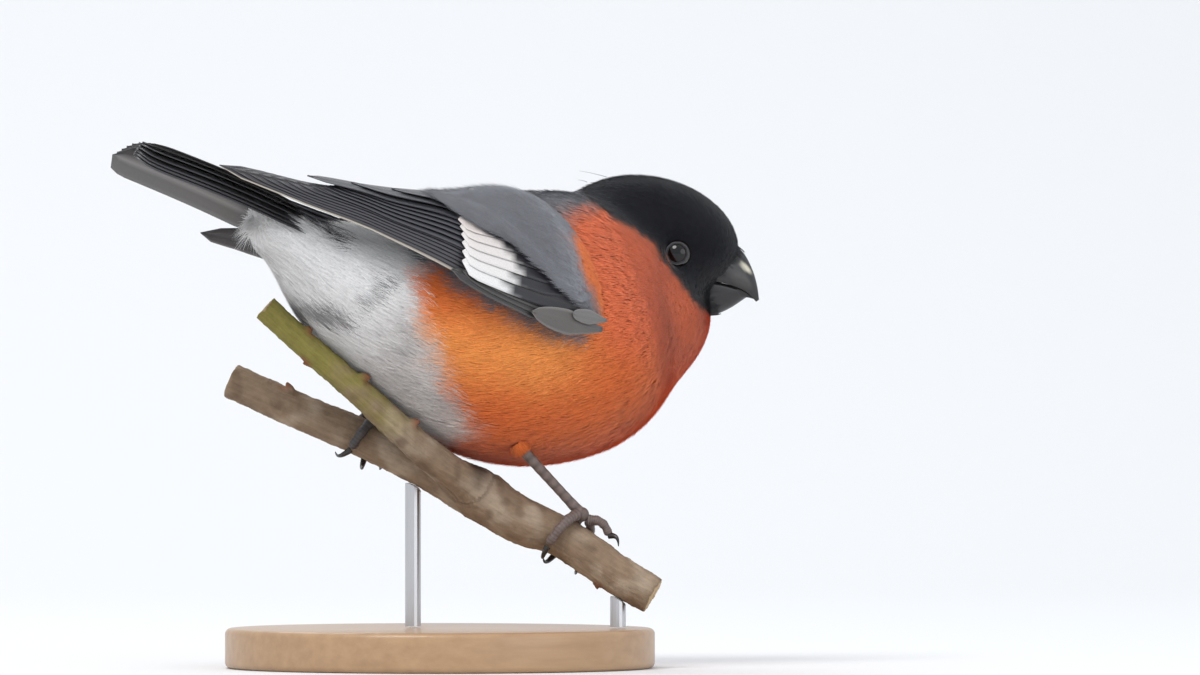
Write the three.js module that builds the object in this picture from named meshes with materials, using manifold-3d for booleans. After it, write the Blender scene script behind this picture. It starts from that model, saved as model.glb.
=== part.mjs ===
// A male bullfinch, life size, on a short cut length of forked branch that a plain stand holds.
// Millimetres. +X is forward along the bird's body, +Y is its left and +Z is up. z = 0 is the floor.
import * as THREE from "three";
import { mergeVertices } from "three/addons/utils/BufferGeometryUtils.js";
import Module from "manifold-3d";

const wasm = await Module();
wasm.setup();

// Driving dimensions
const HEADING = 32; // degrees that the body is turned away from the broadside view
const GAP = 0.3; // clearance between two pieces that touch
const BODY_CELL = 4.3; // grid step of the body's surface
const HEAD_CELL = 3.0;
const VANE_THICKNESS = 0.5;
const WELD = 4e-3; // corners closer than this are one
const VANE_STEP = 0.36; // how far each overlapping feather lies over the next

const EYE_RADIUS = 2.9;
const EYE_AHEAD = 6.1; // from the middle of the skull, along the head
const EYE_BELOW = 1.9;
const EYE_PROUD = 0.85; // how far the eyeball stands out of the cheek
const LID_RADIUS = 2.25;
const LID_TUBE = 0.42;

const TAIL_LENGTH = 57;
const TAIL_RISE = 21.5; // degrees
const TAIL_SLOPE = { near: 27, far: 35 }; // how far each half slopes down from the middle, in degrees
const TAIL_FEATHERS = 12;

const STAND = { radius: 43, height: 8, edge: 1.2, right: -4, away: 0 };
const ROD_RADIUS = 1.6;

// The plumage is one smooth surface: egg-shaped forms that melt into each other.
// centre, radii (along, aside, up), pitch and turn in degrees, and how far the form melts in
const FORMS = [
  { centre: [10.6, 0, 67.8], radii: [36.3, 26, 27], pitch: -13.9, turn: 0, melt: 0 }, // belly
  { centre: [-20.1, 0, 73.3], radii: [21.3, 16, 12.9], pitch: -31.6, turn: 0, melt: 8 }, // vent
  { centre: [-34.9, 0, 82.9], radii: [14.9, 9, 6.3], pitch: -27.2, turn: 0, melt: 6 }, // under tail
  { centre: [28, -2, 67], radii: [17.5, 21.5, 18.4], pitch: -1, turn: -16, melt: 10 }, // breast
  { centre: [26.5, -1.2, 80], radii: [20.2, 15.5, 14.7], pitch: -5.1, turn: -20, melt: 8 }, // neck
  { centre: [43.2, -5.1, 70.6], radii: [11, 12.5, 12.2], pitch: 0.3, turn: -25, melt: 6 }, // throat
  { centre: [43.1, -2.6, 86.2], radii: [18.3, 13, 12.6], pitch: -12.9, turn: -32, melt: 4 }, // skull
];
const SKULL = FORMS[FORMS.length - 1];

const vec = (x, y, z) => new THREE.Vector3(x, y, z);
const rad = THREE.MathUtils.degToRad;
const lerp = THREE.MathUtils.lerp;

// A point given from the broadside view: to the right, away from the viewer, and up.
const RIGHT = vec(Math.cos(rad(HEADING)), -Math.sin(rad(HEADING)), 0);
const AWAY = vec(Math.sin(rad(HEADING)), Math.cos(rad(HEADING)), 0);
const seen = (right, away, up) =>
  RIGHT.clone().multiplyScalar(right).addScaledVector(AWAY, away).setZ(up);

// Forward, left and up of something with that pitch and turn.
function axesOf(pitch, turn) {
  const forward = vec(
    Math.cos(rad(turn)) * Math.cos(rad(pitch)),
    Math.sin(rad(turn)) * Math.cos(rad(pitch)),
    Math.sin(rad(pitch)),
  );
  const left = vec(-Math.sin(rad(turn)), Math.cos(rad(turn)), 0);
  return { forward, left, up: forward.clone().cross(left) };
}

const FORM_AXES = FORMS.map((form) => axesOf(form.pitch, form.turn));

// Signed distance to the plumage, about right near the surface.
function plumage(point) {
  let distance = Infinity;
  FORMS.forEach(({ centre, radii, melt }, i) => {
    const { forward, left, up } = FORM_AXES[i];
    const from = point.clone().sub(vec(...centre));
    const local = [from.dot(forward), from.dot(left), from.dot(up)];
    const scaled = Math.hypot(...local.map((c, k) => c / radii[k]));
    const slope = Math.hypot(...local.map((c, k) => c / radii[k] ** 2));
    const own = (scaled * (scaled - 1)) / Math.max(slope, 1e-9);
    const near = melt ? Math.max(melt - Math.abs(distance - own), 0) / melt : 0;
    distance = Math.min(distance, own) - (near * near * melt) / 4;
  });
  return distance;
}

function slopeOf(field, point) {
  const step = 0.05;
  const slope = vec(0, 0, 0);
  for (const axis of ["x", "y", "z"]) {
    const ahead = point.clone();
    const behind = point.clone();
    ahead[axis] += step;
    behind[axis] -= step;
    slope[axis] = (field(ahead) - field(behind)) / (2 * step);
  }
  return slope;
}

// Solids and meshes
function solidOf(points, triangles) {
  const vertProperties = new Float32Array(points.flatMap((p) => [p.x, p.y, p.z]));
  const triVerts = new Uint32Array(triangles.flat());
  if (signedVolume(points, triangles) < 0) {
    return solidOf(points, triangles.map(([a, b, c]) => [a, c, b]));
  }
  return new wasm.Manifold(new wasm.Mesh({ numProp: 3, vertProperties, triVerts }));
}

const signedVolume = (points, triangles) =>
  triangles.reduce((sum, [a, b, c]) => sum + points[a].dot(points[b].clone().cross(points[c])) / 6, 0);

function solidFromGeometry(geometry) {
  const bare = geometry.clone();
  bare.deleteAttribute("normal");
  bare.deleteAttribute("uv");
  const merged = mergeVertices(bare, 1e-4);
  const place = merged.attributes.position;
  const points = Array.from({ length: place.count }, (_, i) => vec().fromBufferAttribute(place, i));
  const index = merged.index.array;
  const triangles = [];
  for (let i = 0; i < index.length; i += 3) triangles.push([index[i], index[i + 1], index[i + 2]]);
  return solidOf(points, triangles);
}

function geometryOf(solid) {
  const { vertProperties, triVerts } = solid.getMesh();
  const geometry = new THREE.BufferGeometry();
  geometry.setAttribute("position", new THREE.BufferAttribute(new Float32Array(vertProperties), 3));
  geometry.setIndex(new THREE.BufferAttribute(new Uint32Array(triVerts), 1));
  geometry.computeVertexNormals();
  return geometry;
}

// Corners that lie on one another become one
function welded(solid, offset) {
  const { vertProperties, triVerts, numProp } = solid.getMesh();
  const points = [];
  const indexOf = new Map();
  const renamed = [];
  for (let i = 0; i < vertProperties.length; i += numProp) {
    const point = vec(...vertProperties.subarray(i, i + 3));
    const name = point.toArray().map((c) => Math.round(c / WELD + offset)).join();
    if (!indexOf.has(name)) {
      indexOf.set(name, points.length);
      points.push(point);
    }
    renamed.push(indexOf.get(name));
  }
  const triangles = [];
  for (let i = 0; i < triVerts.length; i += 3) {
    const [a, b, c] = [renamed[triVerts[i]], renamed[triVerts[i + 1]], renamed[triVerts[i + 2]]];
    if (a !== b && b !== c && c !== a) triangles.push([a, b, c]);
  }
  return { points, triangles };
}

// The largest closed surface of a solid, without loose crumbs or sealed hollows
function outerShell(solid) {
  const { vertProperties, triVerts, numProp } = solid.getMesh();
  const groupOf = Int32Array.from({ length: vertProperties.length / numProp }, (_, i) => i);
  const groupRoot = (i) => {
    while (groupOf[i] !== i) i = groupOf[i] = groupOf[groupOf[i]];
    return i;
  };
  for (let i = 0; i < triVerts.length; i += 3) {
    groupOf[groupRoot(triVerts[i])] = groupRoot(triVerts[i + 1]);
    groupOf[groupRoot(triVerts[i + 1])] = groupRoot(triVerts[i + 2]);
  }
  const groups = new Map();
  for (let i = 0; i < triVerts.length; i += 3) {
    const name = groupRoot(triVerts[i]);
    if (!groups.has(name)) groups.set(name, []);
    groups.get(name).push(triVerts[i], triVerts[i + 1], triVerts[i + 2]);
  }
  const shells = [...groups.values()].map((corners) => {
    const kept = new Map();
    const points = [];
    const index = corners.map((c) => {
      if (!kept.has(c)) {
        kept.set(c, points.length);
        points.push(vec(...vertProperties.subarray(c * numProp, c * numProp + 3)));
      }
      return kept.get(c);
    });
    const triangles = [];
    for (let i = 0; i < index.length; i += 3) triangles.push(index.slice(i, i + 3));
    return { points, triangles, volume: signedVolume(points, triangles) };
  });
  const best = shells.reduce((a, b) => (b.volume > a.volume ? b : a));
  return solidOf(best.points, best.triangles);
}

function largest(solid) {
  let kept = outerShell(solid);
  for (const offset of [0, 0.5, 0.25]) {
    const { points, triangles } = welded(kept, offset);
    kept = outerShell(solidOf(points, triangles));
  }
  return kept;
}

function joined(solids) {
  if (solids.length === 1) return solids[0];
  const half = Math.floor(solids.length / 2);
  return joined(solids.slice(0, half)).add(joined(solids.slice(half)));
}

// The closed surface where a field crosses zero, with one vertex in each cell of a grid that it crosses.
function surfaceOf(field, low, high, cell) {
  const count = ["x", "y", "z"].map((axis) => Math.ceil((high[axis] - low[axis]) / cell) + 1);
  const corner = (i, j, k) => vec(low.x + i * cell, low.y + j * cell, low.z + k * cell);
  const key = (i, j, k) => (i * count[1] + j) * count[2] + k;
  const values = new Float32Array(count[0] * count[1] * count[2]);
  for (let i = 0; i < count[0]; i++) {
    for (let j = 0; j < count[1]; j++) {
      for (let k = 0; k < count[2]; k++) values[key(i, j, k)] = field(corner(i, j, k));
    }
  }
  const points = [];
  const vertexOf = new Map();
  const steps = [[1, 0, 0], [0, 1, 0], [0, 0, 1]];
  const cellVertex = (i, j, k) => {
    const name = key(i, j, k);
    if (vertexOf.has(name)) return vertexOf.get(name);
    const sum = vec(0, 0, 0);
    let crossings = 0;
    for (let axis = 0; axis < 3; axis++) {
      const others = [0, 1, 2].filter((a) => a !== axis);
      for (let side = 0; side < 4; side++) {
        const at = [i, j, k];
        at[others[0]] += side & 1;
        at[others[1]] += side >> 1;
        const next = at.map((c, a) => c + steps[axis][a]);
        const here = values[key(...at)];
        const there = values[key(...next)];
        if (here < 0 === there < 0) continue;
        sum.add(corner(...at).lerp(corner(...next), here / (here - there)));
        crossings++;
      }
    }
    const point = sum.divideScalar(crossings);
    for (let pass = 0; pass < 2; pass++) {
      const slope = slopeOf(field, point);
      point.addScaledVector(slope, -field(point) / Math.max(slope.lengthSq(), 0.2));
    }
    points.push(point);
    vertexOf.set(name, points.length - 1);
    return points.length - 1;
  };
  const triangles = [];
  for (let i = 1; i < count[0] - 1; i++) {
    for (let j = 1; j < count[1] - 1; j++) {
      for (let k = 1; k < count[2] - 1; k++) {
        for (let axis = 0; axis < 3; axis++) {
          const next = [i, j, k].map((c, a) => c + steps[axis][a]);
          const here = values[key(i, j, k)] < 0;
          if (here === values[key(...next)] < 0) continue;
          const a = steps[(axis + 1) % 3];
          const b = steps[(axis + 2) % 3];
          const quad = [[0, 0], [1, 0], [1, 1], [0, 1]].map(([p, q]) =>
            cellVertex(i - p * a[0] - q * b[0], j - p * a[1] - q * b[1], k - p * a[2] - q * b[2]),
          );
          if (!here) quad.reverse();
          triangles.push([quad[0], quad[1], quad[2]], [quad[0], quad[2], quad[3]]);
        }
      }
    }
  }
  return solidOf(points, triangles);
}

// A closed skin over rings of points. Quads on the far half of each ring are split the other way, so
// that the two faces of a thin vane are split alike.
function loft(rings) {
  const sides = rings[0].length;
  const points = rings.flat();
  const triangles = [];
  for (let i = 0; i + 1 < rings.length; i++) {
    for (let j = 0; j < sides; j++) {
      const [a, b] = [i * sides + j, i * sides + ((j + 1) % sides)];
      const [c, d] = [b + sides, a + sides];
      if (j < sides / 2) triangles.push([a, b, c], [a, c, d]);
      else triangles.push([a, b, d], [b, c, d]);
    }
  }
  const last = (rings.length - 1) * sides;
  for (let j = 1; j < sides - 1; j++) {
    triangles.push([0, j + 1, j], [last, last + j, last + j + 1]);
  }
  return solidOf(points, triangles);
}

// A round limb along a path, with a radius at each station. flat squeezes it across the side direction.
function limb(path, radiusAt, sides = 8, flat = 1, side = vec(0, 0, 1)) {
  const rings = path.map((point, i) => {
    const along = path[Math.min(i + 1, path.length - 1)].clone().sub(path[Math.max(i - 1, 0)]).normalize();
    const across = along.clone().cross(side).normalize();
    const over = across.clone().cross(along);
    const radius = radiusAt(i / (path.length - 1));
    return Array.from({ length: sides }, (_, j) => {
      const angle = (2 * Math.PI * j) / sides;
      return point
        .clone()
        .addScaledVector(across, radius * flat * Math.cos(angle))
        .addScaledVector(over, radius * Math.sin(angle));
    });
  });
  return loft(rings);
}

const curvePoints = (points, steps) => new THREE.CatmullRomCurve3(points).getSpacedPoints(steps);

// A feather: a thin blade with a raised shaft. path gives points and the outward normal at each.
function vane(path, normals, width, { thickness = VANE_THICKNESS, lift = 0, tip = 0.55, shaft = 0.16 } = {}) {
  const last = path.length - 1;
  const rings = path.map((point, i) => {
    const along = path[Math.min(i + 1, last)].clone().sub(path[Math.max(i - 1, 0)]).normalize();
    const out = normals[i].clone();
    const across = out.clone().cross(along).normalize();
    const share = i / last;
    const rounding = Math.sqrt(Math.max(1 - Math.max((share - tip) / (1 - tip), 0) ** 2.4, 0));
    const half = Math.max((width / 2) * Math.min(0.45 + share * 1.6, 1) * rounding, 0.3);
    const thick = thickness * (share === 1 ? 0.7 : 1);
    const base = point.clone().addScaledVector(out, lift);
    const at = (aside, up) => base.clone().addScaledVector(across, aside).addScaledVector(out, up);
    return [
      at(-half, thick / 2), at(0, thick / 2 + shaft), at(half, thick / 2),
      at(half, -thick / 2), at(0, -thick / 2 + shaft), at(-half, -thick / 2),
    ];
  });
  return loft(rings);
}

// The body: one surface, parted by thin plane cuts
const BODY_LOW = vec(-62, -36, 30);
const BODY_HIGH = vec(72, 36, 110);
const body = surfaceOf(plumage, BODY_LOW, BODY_HIGH, BODY_CELL);
const grownBody = surfaceOf((p) => plumage(p) - GAP - 0.08, BODY_LOW, BODY_HIGH, BODY_CELL);

const cutPlanes = {
  cap: { normal: axesOf(39.5, -HEADING).forward, through: seen(38.2, 18, 84.2) },
  shoulder: { normal: axesOf(30, -16).forward, through: vec(31, -2, 77) },
  rump: { normal: axesOf(-28, 0).forward, through: vec(-18, 0, 76) },
};
const offsetOf = ({ normal, through }) => normal.dot(through);

// Everything on one side of a cut, half the gap included
function sideOf({ normal, through }, side) {
  const size = 240;
  const box = new THREE.BoxGeometry(size, size, size).translate(0, 0, (GAP - size) / 2);
  const turned = new THREE.Quaternion().setFromUnitVectors(vec(0, 0, 1), normal.clone().multiplyScalar(side));
  return solidFromGeometry(box.applyQuaternion(turned).translate(through.x, through.y, through.z));
}
const ahead = (solid, plane) => solid.subtract(sideOf(plane, 1));
const behind = (solid, plane) => solid.subtract(sideOf(plane, -1));

// The head has a finer surface of its own, closed off a little behind its cut
const headField = (p) => Math.max(plumage(p), offsetOf(cutPlanes.cap) - 4 - cutPlanes.cap.normal.dot(p));
const head = surfaceOf(headField, vec(10, -38, 55), vec(76, 34, 110), HEAD_CELL);
const grownHead = surfaceOf((p) => headField(p) - GAP - 0.05, vec(10, -38, 55), vec(76, 34, 110), HEAD_CELL);

// Head frame
const skull = axesOf(SKULL.pitch, SKULL.turn);
const inHead = (along, aside, up) =>
  vec(...SKULL.centre)
    .addScaledVector(skull.forward, along)
    .addScaledVector(skull.left, aside)
    .addScaledVector(skull.up, up);
function cheekAt(side) {
  let reach = 8;
  while (plumage(inHead(EYE_AHEAD, side * reach, -EYE_BELOW)) < 0) reach += 0.02;
  return inHead(EYE_AHEAD, side * reach, -EYE_BELOW);
}
const eyeAt = (side) => cheekAt(side).addScaledVector(skull.left, side * (EYE_PROUD - EYE_RADIUS));

function ball(centre, radius, detail) {
  const geometry = new THREE.SphereGeometry(radius, detail, Math.round(detail * 0.6));
  return solidFromGeometry(geometry.translate(centre.x, centre.y, centre.z));
}

// Eyelids stand as a ring round the eye
function lids(side) {
  const out = skull.left.clone().multiplyScalar(side);
  const centre = cheekAt(side).addScaledVector(out, 0.05);
  const ring = new THREE.TorusGeometry(LID_RADIUS, LID_TUBE, 5, 14);
  ring.applyQuaternion(new THREE.Quaternion().setFromUnitVectors(vec(0, 0, 1), out));
  return solidFromGeometry(ring.translate(centre.x, centre.y, centre.z));
}

// The bill is drawn in the head's own middle plane, from the broadside view
const BILL = {
  culmen: [[53.5, 85.6], [56.6, 83.6], [58.6, 80.2], [59.7, 76.6], [60.1, 73.7]],
  cutting: [[47.2, 77.6], [51.0, 77.4], [54.4, 76.6], [57.4, 75.3], [59.5, 73.3]],
  lowerCutting: [[46.3, 77.6], [50.0, 77.3], [53.4, 76.6], [55.9, 75.8], [57.6, 75.1]],
  gonys: [[49.4, 70.6], [52.0, 71.0], [54.2, 72.0], [56.1, 73.2], [57.5, 74.2]],
  halfWidth: [4.9, 4.5, 3.5, 2.1, 0.35],
  lowerHalfWidth: [4.5, 4.1, 3.2, 2.1, 0.7],
};
const MOUTH_GAP = 0.34;
const billMiddle = inHead(10, 0, 0);
const billAway = billMiddle.dot(AWAY);

function mandible(edge, inner, widths, drop) {
  const steps = 7;
  const line = (points) =>
    new THREE.CatmullRomCurve3(points.map(([right, up]) => seen(right, billAway, up))).getPoints(steps);
  const outer = line(edge);
  const flat = line(inner);
  const wide = new THREE.SplineCurve(widths.map((w, i) => new THREE.Vector2(i, w))).getPoints(steps);
  const arc = 6;
  const rings = flat.map((middle, i) => {
    const base = middle.clone().add(vec(0, 0, drop));
    const rise = outer[i].clone().sub(base);
    const ring = [];
    for (let j = 0; j <= arc; j++) {
      const angle = Math.PI * (j / arc - 0.5);
      const aside = wide[i].y * Math.sin(angle);
      ring.push(base.clone().addScaledVector(rise, Math.cos(angle)).addScaledVector(AWAY, aside));
    }
    return ring;
  });
  return loft(rings);
}

function nostril(side) {
  const centre = seen(51.6, billAway - side * 3.2, 81.2);
  return ball(centre, 0.75, 10);
}

function bills(grownHead) {
  const upper = mandible(BILL.culmen, BILL.cutting, BILL.halfWidth, MOUTH_GAP / 2);
  const lower = mandible(BILL.gonys, BILL.lowerCutting, BILL.lowerHalfWidth, -MOUTH_GAP / 2);
  const pierced = upper.subtract(joined([nostril(1), nostril(-1)]));
  return {
    bill_upper: largest(pierced.subtract(grownHead)),
    bill_lower: largest(lower.subtract(grownHead)),
  };
}

// Wings: a curved sheet between the lower and upper edge of the folded wing carries every feather
const WING = {
  lower: [[20, -23.5, 64.5], [10, -26.5, 68], [-0.4, -27.4, 71.4], [-16.8, -25.4, 78.4],
    [-31, -20, 86.2], [-46, -13.5, 93.4], [-60.6, -8.2, 100]],
  upper: [[16, -14.5, 90], [8, -11.8, 91.4], [-2, -9.2, 92.3], [-13, -7.6, 92.9],
    [-28, -6.2, 94.8], [-44, -5.8, 97.8], [-60.6, -7.2, 100.8]],
  bulge: [4.2, 4.6, 4.4, 3.6, 2.4, 1.2, 0.4],
};
const LEFT_DROP = vec(8.5, 6.5, -13.2); // where the left wing's tip lies, against the right one's mirror image

function wingSheet(side) {
  const place = ([x, y, z], i, all) => {
    const share = (i / (all.length - 1)) ** 1.6;
    const point = vec(x, side > 0 ? -y : y, z);
    return side > 0 ? point.addScaledVector(LEFT_DROP, share) : point;
  };
  const lower = new THREE.CatmullRomCurve3(WING.lower.map(place));
  const upper = new THREE.CatmullRomCurve3(WING.upper.map(place));
  const bulge = new THREE.SplineCurve(WING.bulge.map((b, i) => new THREE.Vector2(i, b)));
  const raw = (along, over) => {
    const low = lower.getPoint(along);
    const high = upper.getPoint(along);
    const across = high.clone().sub(low);
    const out = across.clone().cross(lower.getTangent(along)).normalize().multiplyScalar(-side);
    if (out.y * side < 0) out.negate();
    const round = 4 * over * (1 - over) * bulge.getPoint(along).y;
    return low.addScaledVector(across, over).addScaledVector(out, round);
  };
  const clear = (point, room) => {
    for (let pass = 0; pass < 3; pass++) {
      const short = room - plumage(point);
      if (short <= 0) break;
      point.addScaledVector(slopeOf(plumage, point).normalize(), short);
    }
    return point;
  };
  const at = (along, over, room = 0.9) => clear(raw(along, over), room);
  const normal = (along, over) => {
    const step = 0.02;
    const a = Math.min(along, 1 - step);
    const o = Math.min(Math.max(over, step), 1 - step);
    const down = at(a + step, o).sub(at(Math.max(a - step, 0), o));
    const up = at(a, o + step).sub(at(a, o - step));
    const out = down.cross(up).normalize();
    return out.y * side < 0 ? out.negate() : out;
  };
  return { at, normal };
}

// A tier of feathers on the sheet. Each entry of a tier is worked out from its share along the tier.
function tier(sheet, { count, from, to, width, layer, stations = 6, step = VANE_STEP, tip, thickness }) {
  return Array.from({ length: count }, (_, i) => {
    const share = count > 1 ? i / (count - 1) : 0;
    const [startAlong, startOver] = from(share);
    const [endAlong, endOver] = to(share);
    const path = [];
    const normals = [];
    for (let j = 0; j < stations; j++) {
      const t = j / (stations - 1);
      const along = lerp(startAlong, endAlong, t);
      const over = lerp(startOver, endOver, t ** 0.8);
      path.push(sheet.at(along, over));
      normals.push(sheet.normal(along, over));
    }
    return vane(path, normals, width(share), { lift: layer + step * i, tip, thickness });
  });
}

function wing(side) {
  const sheet = wingSheet(side);
  const core = (() => {
    const rings = [];
    for (let i = 0; i <= 5; i++) {
      const along = 0.015 + (0.36 * i) / 5;
      const thick = 3.1 - 0.4 * i;
      const outer = [];
      const inner = [];
      for (let j = 0; j <= 6; j++) {
        const over = 0.04 + (0.92 * j) / 6;
        const rounded = thick * (0.35 + 0.65 * Math.sin(Math.PI * Math.min(0.08 + over * 0.88, 1)));
        const point = sheet.at(along, over);
        outer.push(point.clone().addScaledVector(sheet.normal(along, over), rounded * 0.55));
        inner.push(point.clone().addScaledVector(sheet.normal(along, over), -1.6));
      }
      rings.push([...outer, ...inner.reverse()]);
    }
    return loft(rings);
  })();
  const feathers = [
    // primaries, from the outermost at the lower edge
    ...tier(sheet, {
      count: 7, layer: -0.9, width: () => 7.4, stations: 5, tip: 0.62, step: 0.34,
      from: (s) => [0.26, lerp(0.08, 0.34, s)],
      to: (s) => [lerp(0.995, 0.77, s ** 1.3), lerp(0.36, 0.56, s)],
    }),
    // secondaries
    ...tier(sheet, {
      count: 4, layer: 0.9, width: () => 9, stations: 5, step: 0.4,
      from: (s) => [0.28, lerp(0.36, 0.66, s)],
      to: (s) => [lerp(0.76, 0.72, s), lerp(0.5, 0.72, s)],
    }),
    // tertials
    ...tier(sheet, {
      count: 3, layer: 1.9, width: (s) => lerp(9.5, 8.5, s), stations: 5, step: 0.5,
      from: (s) => [0.28, lerp(0.7, 0.86, s)],
      to: (s) => [lerp(0.8, 0.62, s), lerp(0.72, 0.86, s)],
    }),
    // primary coverts
    ...tier(sheet, {
      count: 2, layer: 0.9, width: () => 6.6, step: 0.5, stations: 4,
      from: (s) => [0.14, lerp(0.08, 0.2, s)],
      to: (s) => [lerp(0.36, 0.42, s), lerp(0.08, 0.22, s)],
    }),
    // greater coverts, whose tips make the pale bar
    ...tier(sheet, {
      count: 5, layer: 1.8, width: () => 8.4, step: 0.42, stations: 4, tip: 0.7,
      from: (s) => [0.16, lerp(0.32, 0.82, s)],
      to: (s) => [lerp(0.39, 0.41, s), lerp(0.28, 0.9, s)],
    }),
    // median coverts
    ...tier(sheet, {
      count: 3, layer: 2.9, width: () => 9.6, step: 0.4, stations: 4, tip: 0.6,
      from: (s) => [0.05, lerp(0.34, 0.76, s)],
      to: (s) => [lerp(0.25, 0.27, s), lerp(0.3, 0.8, s)],
    }),
    // the bastard wing at the bend
    ...tier(sheet, {
      count: 2, layer: 2, width: (s) => lerp(5.4, 4.6, s), step: 0.5, stations: 4,
      from: () => [0.04, 0.13],
      to: (s) => [lerp(0.225, 0.13, s), lerp(0.06, 0.2, s)],
    }),
  ];
  return largest(joined([core, ...feathers]).subtract(grownBody));
}

// Tail: twelve feathers, the middle pair on top, spread a little and notched at the end
const TAIL_ROOT = vec(-23.8, 0, 85);
const TAIL_BASE_HALF = 5;
const TAIL_END_HALF = 6.6;
const TAIL_NOTCH = 3.4;
const TAIL_SHOWN_FROM = 0.12; // share of its length that lies in the body's plumage
const tailAxes = axesOf(-TAIL_RISE, 0);

// The tail is folded like a low roof. Each half eases into its slope within a few millimetres.
function tailTilt(aside) {
  const eased = THREE.MathUtils.smoothstep(Math.abs(aside), -1.5, 4.5);
  return rad((aside > 0 ? TAIL_SLOPE.far : TAIL_SLOPE.near) * eased);
}
const tailNormal = (aside) =>
  tailAxes.up.clone().applyAxisAngle(tailAxes.forward, -Math.sign(aside) * tailTilt(aside));
const onTail = (along, aside, up) =>
  TAIL_ROOT.clone()
    .addScaledVector(tailAxes.forward, -along)
    .addScaledVector(tailAxes.left, aside * Math.cos(tailTilt(aside)))
    .addScaledVector(tailAxes.up, -Math.abs(aside) * Math.sin(tailTilt(aside)))
    .addScaledVector(tailNormal(aside), up);

function tailFeather(pair, side) {
  const share = pair / 5;
  const length = TAIL_LENGTH - TAIL_NOTCH * (1 - share ** 0.8);
  const path = [];
  const normals = [];
  for (let j = 0; j < 5; j++) {
    const t = lerp(TAIL_SHOWN_FROM, 1, j / 4);
    const aside = side * lerp(TAIL_BASE_HALF, TAIL_END_HALF, t) * lerp(0.12, 1, share);
    const bow = 1.2 * Math.sin(Math.PI * t);
    path.push(onTail(length * t, aside, bow - 0.36 * pair - (side > 0 ? 0.18 : 0)));
    normals.push(tailNormal(aside));
  }
  return vane(path, normals, lerp(7.6, 9.2, share), { tip: 0.8, shaft: 0.12 });
}

function tail() {
  const feathers = [];
  for (let pair = 0; pair < TAIL_FEATHERS / 2; pair++) {
    for (const side of [-1, 1]) feathers.push(tailFeather(pair, side));
  }
  const plug = limb(
    [0.06, 0.16, 0.26, 0.38].map((t) => onTail(TAIL_LENGTH * t, 0, -1.6)),
    (t) => lerp(5.4, 4.4, t),
    10,
    0.4,
    tailAxes.left,
  );
  // coverts that lie over the root of the tail and down its sides
  const coverts = [];
  for (let i = 0; i < 5; i++) {
    const share = (i - 2) / 2;
    const reach = lerp(0.36, 0.24, Math.abs(share));
    const path = [];
    const normals = [];
    for (let j = 0; j < 4; j++) {
      path.push(onTail(TAIL_LENGTH * lerp(0, reach, j / 3), share * 6.2, 1.6 + 0.5 * (1 - j / 3)));
      normals.push(tailNormal(share * 6.2));
    }
    coverts.push(vane(path, normals, 7, { thickness: 1.1 }));
  }
  return largest(joined([...feathers, plug, ...coverts]).subtract(grownBody));
}

// Perch
const MAIN_BRANCH = [
  [-46, 7.6, 57.4], [-32, 5.6, 51.2], [-20, 3.8, 46.2], [-8, 2, 40.6], [4, 0, 34.4],
  [12, -1.2, 29.6], [20.4, -2.5, 26.2], [32, -4.2, 18.4], [38.6, -5, 14.6],
];
const MAIN_RADIUS = [3.5, 3.6, 3.8, 4.1, 5.0, 4.7, 4.1, 3.95, 3.8];
const FORK = [
  [5, -0.5, 34.6], [-4, -7, 41], [-12, -11.6, 48], [-22, -14.6, 57.2], [-32, -16, 66], [-38.5, -16.4, 72],
];
const FORK_RADIUS = [3.8, 3.3, 2.9, 2.7, 2.6, 2.6];
const BUDS = [
  [-32, 5.6, 51.2, -25, 1, 3.4], [-41, 7, 55.2, 120, 0.8, 2.6], [-12, -11.6, 48, 70, 1, 2.2],
  [-22, -14.6, 57.2, 75, 1.1, 2.4], [-27, -15.2, 61.6, -100, 0.9, 1.8], [-33, -16, 67, 80, 0.9, 1.9],
  [27, -3.5, 21.8, 175, 0.9, 1.5],
];

const branchCurve = new THREE.CatmullRomCurve3(MAIN_BRANCH.map((p) => seen(...p)));
const forkCurve = new THREE.CatmullRomCurve3(FORK.map((p) => seen(...p)));
const valueAlong = (values, t) => {
  const place = t * (values.length - 1);
  const i = Math.min(Math.floor(place), values.length - 2);
  const f = place - i;
  const smooth = f * f * (3 - 2 * f);
  return lerp(values[i], values[i + 1], smooth);
};
const ripple = (a, b) => 0.16 * Math.sin(a * 3.1 + 2 * b) + 0.12 * Math.sin(a * 7.3 - b * 3 + 1);

function branch(curve, radii, grown = 0, steps = 18, sides = 10) {
  const rings = [];
  for (let i = 0; i <= steps; i++) {
    const t = i / steps;
    const along = curve.getTangent(t);
    const top = vec(0, 0, 1).addScaledVector(along, -along.z).normalize();
    const near = along.clone().cross(top);
    const ring = [];
    for (let j = 0; j < sides; j++) {
      const angle = (2 * Math.PI * j) / sides;
      const radius = valueAlong(radii, t) + (grown ? grown + 0.05 : ripple(t * 12, angle));
      ring.push(
        curve.getPoint(t)
          .addScaledVector(top, radius * Math.cos(angle))
          .addScaledVector(near, radius * Math.sin(angle)),
      );
    }
    rings.push(ring);
  }
  return loft(rings);
}

function bud([right, away, up, angle, radius, length]) {
  const root = seen(right, away, up);
  const along = seen(Math.sin(rad(angle)), -0.25, Math.cos(rad(angle))).normalize();
  const reach = (right > -11 ? 4.6 : right < -30 && away > 0 ? 3.4 : 2.4) + length;
  const path = [0, 0.45, 0.62, 0.8, 0.93, 1].map((t) => root.clone().addScaledVector(along, reach * t));
  const girth = [0.7, 0.6, 0.85, 1, 0.7, 0.25];
  return limb(path, (t) => radius * girth[Math.round(t * 5)], 5, 1, vec(0.3, 0.2, 0.9).normalize());
}

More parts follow.
